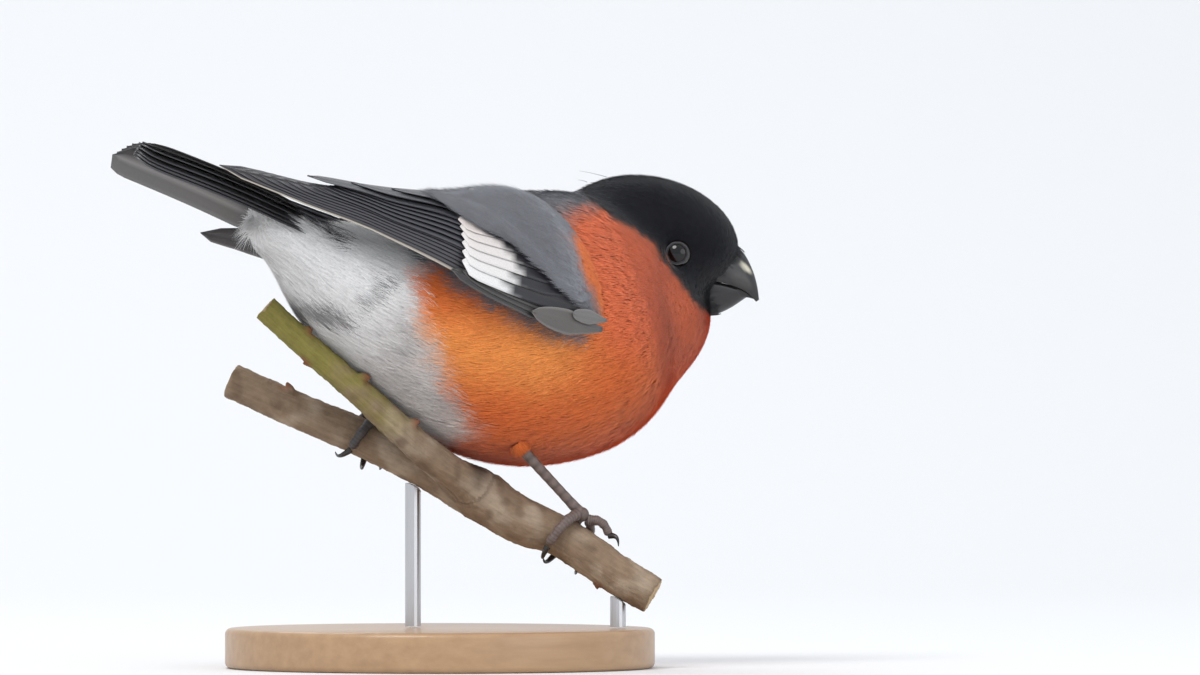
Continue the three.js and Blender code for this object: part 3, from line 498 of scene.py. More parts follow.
class Shader:
    """A material and short ways to add nodes to it."""

    def __init__(self, name, **inputs):
        self.material = bpy.data.materials.new(name)
        self.material.use_nodes = True
        self.tree = self.material.node_tree
        self.surface = self.tree.nodes["Principled BSDF"]
        for key, value in inputs.items():
            self.set(self.surface, key.replace("_", " "), value)

    def set(self, node, key, value):
        socket = node.inputs[key]
        if isinstance(value, bpy.types.NodeSocket):
            self.tree.links.new(value, socket)
        elif isinstance(value, (tuple, list)) and len(value) == 3 and len(socket.default_value) == 4:
            socket.default_value = (*value, 1)
        else:
            socket.default_value = value

    def node(self, kind, out=0, props=None, **inputs):
        made = self.tree.nodes.new("ShaderNode" + kind)
        for key, value in (props or {}).items():
            setattr(made, key, value)
        for key, value in inputs.items():
            numbered = key[0] == "i" and key[1:].isdigit()
            self.set(made, int(key[1:]) if numbered else key.replace("_", " "), value)
        return made.outputs[out]

    def math(self, operation, a, b=0.0):
        return self.node("Math", props={"operation": operation}, i0=a, i1=b)

    def colour(self):
        return self.node("VertexColor", props={"layer_name": "Colour"})

    def place(self):
        return self.node("TexCoord", out=3)

    def noise(self, vector, scale, detail=3.0, rough=0.5):
        return self.node("TexNoise", Vector=vector, Scale=scale, Detail=detail, Roughness=rough)

    def uv(self, layer):
        return self.node("UVMap", props={"uv_map": layer})

    def scaled(self, vector, by):
        return self.node("VectorMath", props={"operation": "MULTIPLY"}, i0=vector, i1=by)

    def tint(self, colour, amount, low, high):
        """colour multiplied by something between low and high as amount goes from 0 to 1."""
        factor = self.node("MapRange", i0=amount, i1=0.0, i2=1.0, i3=low, i4=high)
        return self.node("VectorMath", props={"operation": "SCALE"}, i0=colour, Scale=factor)

    def bump(self, height, distance, strength=1.0):
        normal = self.node("Bump", Height=height, Distance=distance, Strength=strength)
        self.tree.links.new(normal, self.surface.inputs["Normal"])


def finished(obj, material, slot, *nodes):
    obj.data.materials.clear()
    obj.data.materials.append(material)
    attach(obj, "root")
    if nodes:
        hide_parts(*nodes)
    return obj


def plume_material(name, rough=0.78, sheen=0.25):
    s = Shader(name, Roughness=rough, Sheen_Weight=sheen, Sheen_Roughness=0.45, Specular_IOR_Level=0.25)
    fine = s.noise(s.place(), 2600.0, 2.0)
    s.set(s.surface, "Base Color", s.tint(s.colour(), fine, 0.82, 1.18))
    return s.material


# The coat


def lie_of(points, normals):
    """Which way the feathers point along the surface: away from the bill, then back along the body."""
    from_bill = points - BILL_BASE
    reach = np.linalg.norm(from_bill, axis=-1)
    back = np.tile([-1.0, 0.0, 0.06], (len(points), 1))
    rear = smooth(6, -30, points[:, 0])
    back[:, 2] += 0.48 * rear
    flank = smooth(20, 0, points[:, 0] - 18) * np.clip(np.abs(points[:, 1]) / 26, 0, 1)
    back[:, 2] -= 0.25 * flank * (1 - rear)
    back = unit(back)
    front = unit(from_bill)
    share = smooth(16, 42, reach)[:, None]
    way = front * (1 - share) + back * share
    way = way - normals * dot(way, normals)[:, None]
    return unit(way)


def scatter(points, quads, spacing, rng):
    """Points spread over quads, about one in each spacing squared, where spacing is given per quad."""
    a, b, c, d = (points[quads[:, k]] for k in range(4))
    area = 0.5 * (
        np.linalg.norm(np.cross(b - a, c - a), axis=-1) + np.linalg.norm(np.cross(c - a, d - a), axis=-1)
    )
    wanted = area / spacing**2
    whole = np.floor(wanted + rng.random(len(wanted))).astype(int)
    pick = np.repeat(np.arange(len(quads)), whole)
    u, v = rng.random((2, len(pick)))
    u, v = u[:, None], v[:, None]
    return (a[pick] * (1 - u) + b[pick] * u) * (1 - v) + (d[pick] * (1 - u) + c[pick] * u) * v


def bake_patch(points):
    """Where a root lies on an unwrap of the skin: round its long axis and along it."""
    along = (points[:, 0] + 60) / 130
    angle = np.arctan2(
        points[:, 1] + 2 * smooth(20, 45, points[:, 0]),
        points[:, 2] - lerp(82.0, 76.0, np.clip(along, 0, 1))
    )
    return np.stack([0.02 + 0.955 * (angle / (2 * math.pi) + 0.5), 0.02 + 0.955 * np.clip(along, 0, 1)], -1)


BARB_TURNS = (0, 1, -1, 0.55, -0.55, 1.5, -1.5, 0.28, -0.28)
# Feathers are small within this distance of the bill, with roots this far apart at the bill and further out
FINE_REACH = 27
FINE_SPACING = (0.36, 0.52)
BODY_SPACING = 1.0
HEAD_PIECES, BODY_PIECES = 3, 5


def tufts(
    roots, way, out, length, width, barbs, fan, spread, rise, colours, rng,
    field=None, stations=3, tip_light=1.06, root_dark=0.84,
):  # fmt: skip
    """Small feathers: each is a fan of thin flat barbs that lie along the surface and follow it.

    fan is the widest angle of a barb in radians, spread how far apart barbs start, and rise how far tips
    stand over the roots, all lengths in mm. With a field the barbs keep that height over its surface.
    """
    count = len(roots)
    aside = unit(np.cross(out, way))
    shape, tint, patch = [], [], []
    base_uv = bake_patch(roots)
    tuft_tint = 1 + 0.10 * (rng.random(count) - 0.5)
    spread = np.broadcast_to(spread, count)
    steps = np.linspace(0, 1, stations)
    for turn in BARB_TURNS[:barbs]:
        angle = fan * turn * (0.8 + 0.4 * rng.random(count))
        own = length * (1 - 0.2 * abs(turn)) * (0.8 + 0.4 * rng.random(count))
        direction = unit(turned(way, out, angle))
        start = roots + aside * (turn * spread)[:, None] + way * (own * 0.06 * abs(turn))[:, None]
        across = unit(np.cross(out, direction))
        lift = rise * (0.85 + 0.3 * rng.random(count))
        rows = []
        for k, t in enumerate(steps):
            middle = start + direction * (own * t)[:, None] + aside * (turn * own * -0.10 * t * t)[:, None]
            height = lerp(-0.12, 1.0, t**0.8) * lift
            middle = middle + out * (height - (field(middle) if field else 0))[:, None]
            half = (width * 0.5 * (1 + 0.15 * t))[:, None]
            if k < stations - 1:
                rows += [middle + across * half, middle - across * half, middle - out * half * 0.6]
            else:
                rows += [middle]
        shape.append(np.stack(rows, 1))
        shade = np.append(np.repeat(lerp(root_dark, tip_light, steps[:-1]), 3), tip_light)
        own_tint = tuft_tint * (1 + 0.22 * (rng.random(count) - 0.5))
        tint.append(colours[:, None, :] * shade[None, :, None] * own_tint[:, None, None])
        spread_uv = np.stack(
            [np.append(np.tile([0, 0.4, 0.2], stations - 1), 0.2), np.append(np.repeat(steps[:-1], 3), 1)],
            -1
        )
        patch.append(base_uv[:, None, :] + spread_uv[None] * 0.003 - 0.0015)
    points = np.concatenate(shape, 0)
    size = points.shape[1]
    one = [(0, 1, 2)]
    for k in range(stations - 1):
        a, b = 3 * k, 3 * k + 3
        if k < stations - 2:
            one += [
                (a, b, b + 1), (a, b + 1, a + 1), (a + 1, b + 1, b + 2), (a + 1, b + 2, a + 2),
                (a + 2, b + 2, b), (a + 2, b, a)
            ]
        else:
            one += [(a, b, a + 1), (a + 1, b, a + 2), (a + 2, b, a)]
    faces = (np.arange(len(points))[:, None, None] * size + np.array(one)[None]).reshape(-1, 3)
    tint, patch = np.concatenate(tint, 0), np.concatenate(patch, 0)
    return points.reshape(-1, 3), faces, tint.reshape(-1, 3), patch.reshape(-1, 2)


def coat_piece(name, material, nodes, tuft):
    """One mesh of tufts as a finished piece."""
    shape, faces, tint, patch = tuft
    mesh = mesh_from(name, shape, [faces], tint, {"OFBake": patch}, smooth_shade=False)
    return finished(new_object(name, mesh), material, "plumage", *nodes)


def sweep_tree():
    """Geometry nodes that draw a round skin along lines, with a radius at each point."""
    tree = bpy.data.node_groups.new("Sweep", "GeometryNodeTree")
    for label, kind in (
        ("Geometry", "Geometry"), ("Sides", "Int"), ("Thickness", "Float"), ("Material", "Material")
    ):
        tree.interface.new_socket(label, in_out="INPUT", socket_type="NodeSocket" + kind)
    tree.interface.new_socket("Geometry", in_out="OUTPUT", socket_type="NodeSocketGeometry")

    def node(kind, **inputs):
        made = tree.nodes.new(kind)
        for key, value in inputs.items():
            if isinstance(value, bpy.types.NodeSocket):
                tree.links.new(value, made.inputs[key.replace("_", " ")])
            else:
                made.inputs[key.replace("_", " ")].default_value = value
        return made

    given = tree.nodes.new("NodeGroupInput").outputs
    radius = node("GeometryNodeInputNamedAttribute", Name="Radius").outputs["Attribute"]
    scaled = node("ShaderNodeMath")
    scaled.operation = "MULTIPLY"
    tree.links.new(radius, scaled.inputs[0])
    tree.links.new(given["Thickness"], scaled.inputs[1])
    line = node("GeometryNodeMeshToCurve", Mesh=given["Geometry"]).outputs[0]
    circle = node("GeometryNodeCurvePrimitiveCircle", Resolution=given["Sides"], Radius=1.0).outputs[0]
    skin = node(
        "GeometryNodeCurveToMesh", Curve=line, Profile_Curve=circle, Scale=scaled.outputs[0], Fill_Caps=True
    ).outputs[0]
    smooth_skin = node("GeometryNodeSetShadeSmooth", Geometry=skin).outputs[0]
    real = node("GeometryNodeRealizeInstances", Geometry=smooth_skin).outputs[0]
    done = node("GeometryNodeSetMaterial", Geometry=real, Material=given["Material"]).outputs[0]
    tree.links.new(done, tree.nodes.new("NodeGroupOutput").inputs[0])
    return tree


def swept(name, lines, material, sides=12, thickness=1.0):
    """Limbs along lines of points. Each line comes with its radii in mm and its colour or colours."""
    tree = bpy.data.node_groups.get("Sweep") or sweep_tree()
    points = np.vstack([line for line, _, _ in lines])
    sizes = [len(line) for line, _, _ in lines]
    firsts = np.cumsum([0] + sizes[:-1])
    edges = np.vstack(
        [np.stack([np.arange(n - 1), np.arange(1, n)], -1) + first for first, n in zip(firsts, sizes)]
    )
    mesh = bpy.data.meshes.new(name)
    mesh.from_pydata(((points + SHIFT) / 1000).tolist(), edges.tolist(), [])
    radius = mesh.attributes.new("Radius", "FLOAT", "POINT")
    radius.data.foreach_set(
        "value",
        np.concatenate(
            [np.broadcast_to(r, n) for (_, r, _), n in zip(lines, sizes)]
        ).astype(np.float32) / 1000
    )
    colours = np.ones((len(points), 4), np.float32)
    colours[:, :3] = np.vstack([np.broadcast_to(c, (n, 3)) for (_, _, c), n in zip(lines, sizes)])
    mesh.color_attributes.new("Colour", "FLOAT_COLOR", "POINT").data.foreach_set("color", colours.ravel())
    obj = new_object(name, mesh)
    modifier = obj.modifiers.new("Sweep", "NODES")
    modifier.node_group = tree
    values = {"Sides": sides, "Thickness": thickness, "Material": material}
    for socket in tree.interface.items_tree:
        if socket.in_out == "INPUT" and socket.name in values:
            modifier[socket.identifier] = values[socket.name]
    plain = bpy.data.meshes.new_from_object(obj.evaluated_get(bpy.context.evaluated_depsgraph_get()))
    obj.modifiers.clear()
    obj.data = plain
    outward(plain)
    return obj


# Edges of the folded right wing's sheet from the shoulder to the tip, and how far it bulges between them
WING = {
    "lower": (
        (20, -23.5, 64.5), (10, -26.5, 68), (-0.4, -27.4, 71.4), (-16.8, -25.4, 78.4),
        (-31, -20, 86.2), (-46, -13.5, 93.4), (-60.6, -8.2, 100),
    ),
    "upper": (
        (16, -14.5, 90), (8, -11.8, 91.4), (-2, -9.2, 92.3), (-13, -7.6, 92.9),
        (-28, -6.2, 94.8), (-44, -5.8, 97.8), (-60.6, -7.2, 100.8),
    ),
    "bulge": (4.2, 4.6, 4.4, 3.6, 2.4, 1.2, 0.4),
}  # fmt: skip
# How far the left wing's tip lies from the mirror image of the right one's
LEFT_DROP = np.array([8.5, 6.5, -13.2])

# Rows of wing feathers, the first laid first. starts and ends are the places of the first and the last
# feather as shares along and over the sheet, width is theirs in mm, layer and step are heights over it
FEATHER_ROWS = {
    "primaries": dict(count=9, starts=((0.20, 0.03), (0.20, 0.30)), ends=((0.995, 0.36), (0.77, 0.56)),
                      width=(7.0, 7.0), layer=-0.6, step=0.15, tip=0.62),
    "secondaries": dict(count=6, starts=((0.24, 0.30), (0.24, 0.62)), ends=((0.78, 0.50), (0.72, 0.72)),
                        width=(8.2, 8.2), layer=0.65, step=0.16, tip=0.55),
    "tertials": dict(count=3, starts=((0.26, 0.68), (0.26, 0.88)), ends=((0.80, 0.72), (0.60, 0.88)),
                     width=(9.2, 9.2), layer=1.5, step=0.3, tip=0.55),
    "primary_coverts": dict(count=4, starts=((0.16, 0.0), (0.16, 0.12)), ends=((0.51, 0.02), (0.44, 0.10)),
                            width=(4.0, 4.0), layer=0.8, step=0.16, tip=0.7),
    "greater_coverts": dict(count=6, starts=((0.16, 0.15), (0.18, 0.56)), ends=((0.49, 0.115), (0.485, 0.51)),
                            width=(6.0, 6.0), layer=1.35, step=0.11, tip=0.86),
    "median_coverts": dict(count=6, starts=((0.17, 0.2), (0.2, 0.92)), ends=((0.33, 0.2), (0.44, 0.93)),
                           width=(7.0, 7.0), layer=1.1, step=0.05, tip=0.5),
    "lesser_coverts": dict(count=6, starts=((0.14, 0.12), (0.12, 0.9)), ends=((0.22, 0.14), (0.30, 0.9)),
                           width=(6.2, 6.2), layer=0.4, step=0.05, tip=0.5),
    "alula": dict(count=2, starts=((0.08, 0.045), (0.07, 0.10)), ends=((0.345, -0.03), (0.20, 0.06)),
                  width=(5.2, 3.0), layer=2.2, step=0.45, tip=0.45, root=0.2),
}  # fmt: skip


class Sheet:
    """The curved sheet that a folded wing's feathers lie on."""

    def __init__(self, side):
        self.side = side
        self.lower, self.upper = (
            Path([self.placed(p, i) for i, p in enumerate(WING[k])]) for k in ("lower", "upper")
        )

    def placed(self, point, i):
        x, y, z = point
        if self.side < 0:
            return np.array([x, y, z], float)
        return np.array([x, -y, z], float) + LEFT_DROP * (i / 6) ** 1.6

    def raw(self, along, over):
        low, high = self.lower.at(along), self.upper.at(along)
        across = high - low
        out = unit(np.cross(across, self.lower.tangent(along)))
        out = out * np.where(out[..., 1:2] * self.side < 0, -1, 1)
        bulge = along_values(WING["bulge"], along)
        return low + across * over[..., None] + out * (4 * over * (1 - over) * bulge)[..., None]

    def at(self, along, over, room=0.9):
        along, over = np.broadcast_arrays(np.asarray(along, float), np.asarray(over, float))
        point = self.raw(along, over)
        for _ in range(3):
            short = np.maximum(room - plumage(point), 0)
            point = point + unit(slope_of(plumage, point)) * short[..., None]
        return point

    def normal(self, along, over):
        step = 0.02
        along, over = np.broadcast_arrays(np.asarray(along, float), np.asarray(over, float))
        a, o = np.minimum(along, 1 - step), np.clip(over, step, 1 - step)
        back = self.at(a + step, o) - self.at(np.maximum(a - step, 0), o)
        over_it = self.at(a, o + step) - self.at(a, o - step)
        out = unit(np.cross(back, over_it))
        return out * np.where(out[..., 1:2] * self.side < 0, -1, 1)


def vane(
    pile, path, normals, width, paint, tip=0.55, thick=0.16, curl=0.0, across_steps=4, root=0.45,
    lopsided=0.0
):
    """A flight feather: two webs that slope from a raised shaft, with a rounded tip."""
    stations = len(path)
    along = unit(np.gradient(path, axis=0))
    across = unit(np.cross(normals, along))
    share = np.linspace(0, 1, stations)
    rounding = np.sqrt(np.clip(1 - np.clip((share - tip) / (1 - tip), 0, 1) ** 2.4, 0, 1))
    half = np.maximum(width / 2 * np.minimum(root + share * 1.6, 1) * rounding, 0.12)
    length = np.linalg.norm(np.diff(path, axis=0), axis=1).sum()
    columns = np.linspace(-1, 1, 2 * across_steps + 1)
    rows, colours, places = [], [], []
    for face in (1, -1):
        for c in columns[:: face]:
            aside = half * (c + lopsided * (1 - c * c))
            shaft = 0.13 if abs(c) < 1e-6 else 0
            rise = -curl * half * c * c + shaft + face * thick / 2 * (1 - 0.6 * c * c)
            rows.append(path + across * aside[:, None] + normals * rise[:, None])
            colours.append(paint(share, np.full(stations, c), face))
            places.append(np.stack([share * length / 50, 0.5 + aside / 50], -1))
    pile.loft(np.stack(rows, 1), np.stack(colours, 1), Vane=np.stack(places, 1))


def tier(pile, sheet, paint, count, starts, ends, width, layer, step, tip, root=0.45, stations=18):
    """A row of feathers on the sheet, each over the one before it."""
    for i in range(count):
        s = i / max(count - 1, 1)
        t = np.linspace(0, 1, stations)
        start, end = (lerp(np.array(first), np.array(last), s) for first, last in (starts, ends))
        along, over = lerp(start[0], end[0], t), lerp(start[1], end[1], t**0.8)
        normals = sheet.normal(along, over)
        path = sheet.at(along, over) + normals * (layer + step * i)
        vane(pile, path, normals, lerp(*width, s), paint(s), tip=tip, root=root)


DARK = np.array((0.0085, 0.0085, 0.0125))
GREY_UNDER = np.array((0.10, 0.10, 0.115))


def painted(
    dark=DARK, edge=None, edge_from=0.7, tip=None, tip_from=0.6, soft=0.06, under=GREY_UNDER, outer=0,
    under_edge=0
):
    """Colours of a feather: dark, with an outer edge and a tip of other colours, and its own underside."""

    def paint(share, c, face):
        colour = np.tile(np.asarray(dark, float), (len(share), 1))
        if edge is not None:
            side = c * outer if outer else np.abs(c)
            colour = blend(colour, edge, smooth(edge_from, 1.0, side))
        if tip is not None:
            colour = blend(colour, tip, smooth(tip_from - soft, tip_from + soft, share + 0.08 * np.abs(c)))
        if face < 0:
            colour = blend(colour, under, np.full(len(share), 0.85))
            shaft = smooth(0.1, 0.0, np.abs(c)) * 0.6
            colour = blend(colour, np.array(under) * 2.4, shaft)
            if under_edge:
                colour = blend(colour, (0.020, 0.018, 0.020), smooth(0.25, 0.5, c * under_edge))
        return colour

    return paint


def flight_material(name):
    s = Shader(
        name, Roughness=0.34, Specular_IOR_Level=0.45, Sheen_Weight=0.06, Coat_Weight=0.12,
        Coat_Roughness=0.25
    )
    parts = s.node("SeparateXYZ", i0=s.uv("Vane"))
    x = parts
    y = s.tree.nodes[-1].outputs[1]
    aside = s.math("ABSOLUTE", s.math("SUBTRACT", y, 0.5))
    line = s.math("SUBTRACT", x, s.math("MULTIPLY", aside, 1.1))
    wave = s.math("SINE", s.math("MULTIPLY", line, 50 * 2 * math.pi / 0.42))
    rough = s.noise(s.scaled(s.uv("Vane"), (60.0, 25.0, 1.0)), 6.0, 2.0)
    s.set(s.surface, "Base Color", s.tint(s.colour(), rough, 0.75, 1.3))
    s.bump(s.math("ADD", s.math("MULTIPLY", wave, 0.5), s.math("MULTIPLY", rough, 0.8)), 0.00006, 0.55)
    return s.material


# Feet and branch

# Points of both limbs as right, away and up, and their radii
MAIN_BRANCH = (
    (-46, 7.6, 57.4), (-32, 5.6, 51.2), (-20, 3.8, 46.2), (-8, 2, 40.6), (4, 0, 34.4), (12, -1.2, 29.6),
    (20.4, -2.5, 26.2), (32, -4.2, 18.4), (38.6, -5, 14.6),
)  # fmt: skip
MAIN_RADIUS = (3.5, 3.6, 3.8, 4.1, 5.0, 4.7, 4.1, 3.95, 3.8)
FORK = (
    (5, -0.5, 34.6), (-4, -7, 41), (-12, -11.6, 48), (-22, -14.6, 57.2), (-32, -16, 66), (-38.5, -16.4, 72),
)  # fmt: skip
FORK_RADIUS = (3.8, 3.3, 2.9, 2.7, 2.6, 2.6)
# Buds: right, away and up of the root, its angle from upright in degrees, radius and how far it shows
BUDS = (
    (-32, 5.6, 51.2, -25, 1, 3.4), (-41, 7, 55.2, 120, 0.8, 2.6), (-12, -11.6, 48, 70, 1, 2.2),
    (-22, -14.6, 57.2, 75, 1.1, 2.4), (-27, -15.2, 61.6, -100, 0.9, 1.8), (-33, -16, 67, 80, 0.9, 1.9),
    (27, -3.5, 21.8, 175, 0.9, 1.5),
)  # fmt: skip
SCAR = seen(2.5, -3.2, 38.2)
BARK_COLOURS = {
    "brown": (0.235, 0.165, 0.110),
    "pale": (0.36, 0.285, 0.21),
    "dark": (0.13, 0.085, 0.055),
    "young": (0.215, 0.185, 0.050),
    "scar": (0.045, 0.032, 0.024),
    "bud": (0.20, 0.075, 0.040),
    "cut": (0.60, 0.45, 0.28),
    "cut_ring": (0.42, 0.29, 0.16),
}
MAIN_PATH = Path([seen(*p) for p in MAIN_BRANCH])
FORK_PATH = Path([seen(*p) for p in FORK])
MAIN_LENGTH = MAIN_PATH.length()
BARK_ROOM = 0.62

FEET = {
    "right": (0.762, 8, {
        "hind": ((-0.6, -2.6), (22, 112), 160, -3.2, (1.15, 0.85), 0),
        "inner": ((1.2, 5.2), (4, -4), 14, 7.6, (1.05, 0.8), 1.1),
        "middle": ((-0.4, -1.4), (-28, -132), -186, -3.4, (1.05, 0.8), 0),
        "outer": ((1.4, 3.4), (-24, -112), -158, 4.2, (1, 0.75), 0),
    }),
    "left": (0.262, 6, {
        "hind": ((0.4, -1.2), (22, 118), 164, -4.2, (1.15, 0.85), 0),
        "inner": ((1.4, 3.6), (-20, -104), -152, 4.2, (1, 0.75), 0),
        "middle": ((-0.2, 0.6), (-28, -134), -184, 1.6, (1.05, 0.8), 0),
        "outer": ((-1.4, -4.2), (-14, -92), -140, -5.2, (1, 0.75), 0),
    }),
}  # fmt: skip
ANKLE = {"right": np.array([7.5, -12, 43.5]), "left": np.array([-8.5, 9.5, 54.0])}


def on_branch(at, shift, turn, height):
    """A point round the branch: shift along it, turn round it in degrees, and height over its bark."""
    t = at + np.asarray(shift, float) / MAIN_LENGTH
    along = MAIN_PATH.tangent(t)
    top = unit(UP - along * along[..., 2:3])
    near = unit(np.cross(top, along))
    near = near * np.where(dot(near, AWAY)[..., None] > 0, -1, 1)
    out = (along_values(MAIN_RADIUS, t) + height)[..., None]
    angle = np.radians(turn)[..., None]
    return MAIN_PATH.at(t) + top * out * np.cos(angle) + near * out * np.sin(angle)


def near_path(points, path, radii, samples=160):
    """Distance from points to a limb's surface, and the share along it."""
    t = np.linspace(0, 1, samples)
    line = path.at(t)
    best = np.full(points.shape[:-1], 1e9)
    share = np.zeros(points.shape[:-1])
    for i in range(samples - 1):
        along = line[i + 1] - line[i]
        f = np.clip(dot(points - line[i], along) / dot(along, along), 0, 1)
        gap = points - line[i] - f[..., None] * along
        distance = dot(gap, gap)
        near = distance < best
        best = np.where(near, distance, best)
        share = np.where(near, lerp(t[i], t[i + 1], f), share)
    return np.sqrt(best) - along_values(radii, share), share


# Settings that a user would change


class BullfinchPlumage(bpy.types.PropertyGroup):
    skin_cell: bpy.props.FloatProperty(
        name="Skin Step", description="Grid step of the skin", default=0.0010, subtype="DISTANCE",
        unit="LENGTH"
    )
    density: bpy.props.FloatProperty(
        name="Density", description="How many small feathers grow, against the usual", default=1.0,
        min=0.05, max=1.3, subtype="FACTOR"
    )
    breast: bpy.props.FloatVectorProperty(
        name="Breast", description="Colour of the breast", default=COLOURS["breast"], size=3,
        subtype="COLOR", min=0, max=1
    )
    mantle: bpy.props.FloatVectorProperty(
        name="Mantle", description="Colour of the back", default=COLOURS["mantle"], size=3, subtype="COLOR",
        min=0, max=1
    )


class BullfinchStage(bpy.types.PropertyGroup):
    distance: bpy.props.FloatProperty(
        name="Camera Distance", description="From the camera to the bird", default=2.4, subtype="DISTANCE",
        unit="LENGTH"
    )
    light: bpy.props.FloatProperty(
        name="Light", description="Strength of the studio light", default=1.0, min=0, max=4,
        subtype="FACTOR"
    )
    floor: bpy.props.FloatVectorProperty(
        name="Floor", description="Colour of the floor", default=(0.74, 0.74, 0.74), size=3,
        subtype="COLOR", min=0, max=1
    )


class BULLFINCH_OT_skin(bpy.types.Operator):
    """Builds the skin and the coat of small feathers over the head, neck and body"""

    bl_idname = "bullfinch.skin"
    bl_label = "Skin and Coat"

    def execute(self, context):
        settings = context.scene.bullfinch_plumage
        COLOURS["breast"], COLOURS["mantle"] = tuple(settings.breast), tuple(settings.mantle)
        cell = settings.skin_cell * 1000 * 1
        points, quads = surface_of(skin_field, (-60, -34, 34), (68, 34, 106), cell)
        mesh = mesh_from(
            "skin", points, [quads], marking(points, 0.6) * 0.86, {"OFBake": bake_patch(points)}
        )
        outward(mesh)
        material = plume_material("Down", 0.85)
        finished(
            new_object("skin", mesh), material, "plumage", "head", "neck", "torso", "rump", "thigh_right"
        )

        rng = np.random.default_rng(7)
        density = settings.density * 1
        reach = np.linalg.norm(points[quads].mean(1) - BILL_BASE, axis=-1)
        fine = lerp(*FINE_SPACING, smooth(4, 24, reach))
        spacing = np.where(reach < FINE_REACH, fine, BODY_SPACING) / math.sqrt(density)
        roots = scatter(points, quads, spacing, rng)
        for side in (1, -1):
            roots = roots[np.linalg.norm(roots - CHEEK[side], axis=-1) > 2.4]
        roots = roots[~self.under_wing(roots)]
        roots = roots[np.argsort(roots[:, 0] + 0.4 * np.abs(roots[:, 1]))]
        reach = np.linalg.norm(roots - BILL_BASE, axis=-1)
        number = 0
        for near, stations, pieces in (
            (reach < FINE_REACH, 2, HEAD_PIECES), (reach >= FINE_REACH, 3, BODY_PIECES)
        ):
            for chosen in np.array_split(roots[near], pieces):
                number += 1
                self.coat(number, chosen, stations, material, rng)
        self.leg_tuft(material, rng)
        self.loose_hairs(material, rng)
        return {"FINISHED"}

    def coat(self, number, roots, stations, material, rng):
        normals = unit(slope_of(plumage, roots))
        reach = np.linalg.norm(roots - BILL_BASE, axis=-1)
        length = lerp(1.2, 6.6, smooth(1, 46, reach)) * np.where(roots[:, 0] < -20, 1.2, 1)
        width = lerp(0.09, 0.21, smooth(4, 40, reach))
        way = lie_of(roots, normals)
        for side in (1, -1):
            from_eye = roots - CHEEK[side]
            far = np.linalg.norm(from_eye, axis=-1)
            pull = smooth(5.0, 2.3, far)[:, None]
            away = unit(from_eye - normals * dot(from_eye, normals)[:, None])
            way = unit(way * (1 - pull * 0.8) + away * pull * 0.8)
            length = length * lerp(0.55, 1, smooth(2.4, 5.5, far))
        way = unit(turned(way, normals, 0.2 * noise(roots * 0.4, 21)))
        colours = marking(roots)
        dark = (colours.max(1) < 0.02)[:, None]
        # Black tufts vary in tone at random. On the forehead a few are much lighter: partly lighter feather
        # tips, partly a painted blue-grey sheen
        forehead_sheen = smooth(50, 57, dot(roots, RIGHT) + 0.35 * (roots[:, 2] - 84))[:, None]
        fleck = rng.random((len(roots), 1))
        colours = np.where(dark, colours * (0.7 + 0.7 * fleck + 2.6 * forehead_sheen * fleck**6), colours)
        fluff = smooth(0.10, 0.20, colours.min(1)) * smooth(-22, -14, roots[:, 0])
        fluff = fluff * smooth(74, 60, roots[:, 2])
        uneven = 0.9 + 0.22 * rng.random(len(roots))
        rise = coat_depth(roots) * (uneven + 0.25 * fluff * rng.random(len(roots)))
        spread = lerp(0.16, 0.34, smooth(8, 40, reach))
        coat_piece(f"coat_{number}", material, ["torso" if stations == 3 else "head"], tufts(
            roots, way, normals, length * (1 + 0.15 * fluff), width, 9, 0.32, spread,
            rise, colours, rng, field=lambda p: plumage(p) + coat_depth(p), stations=stations))

    def leg_tuft(self, material, rng):
        """Short feathers round the place where the near leg leaves the belly."""
        ankle = ANKLE["right"]
        down = unit(on_branch(FEET["right"][0], 0, np.float64(8), BARK_ROOM) - ankle)
        leaves = ankle + down * np.argmax(plumage(ankle + down * np.arange(0, 12, 0.1)[:, None]) > 0) * 0.1
        count = 220
        first = unit(np.cross(down, AWAY))
        angle = rng.random(count) * 2 * math.pi
        out = first * np.cos(angle)[:, None] + np.cross(down, first) * np.sin(angle)[:, None]
        share = rng.random(count)
        roots = leaves + down * (share * 1.6 - 2.3)[:, None] + out * lerp(1.9, 1.0, share)[:, None]
        way = unit(down + 0.12 * out)
        out = unit(out - way * dot(out, way)[:, None])
        colours = marking(roots) * (0.7 + 0.3 * rng.random((count, 1)))
        coat_piece("leg_tuft", material, ["thigh_right"], tufts(
            roots, way, out, lerp(
                2.4, 1.5, share
            ), np.full(count, 0.10), 7, 0.3, 0.14, np.full(count, 0.25),
            colours, rng))

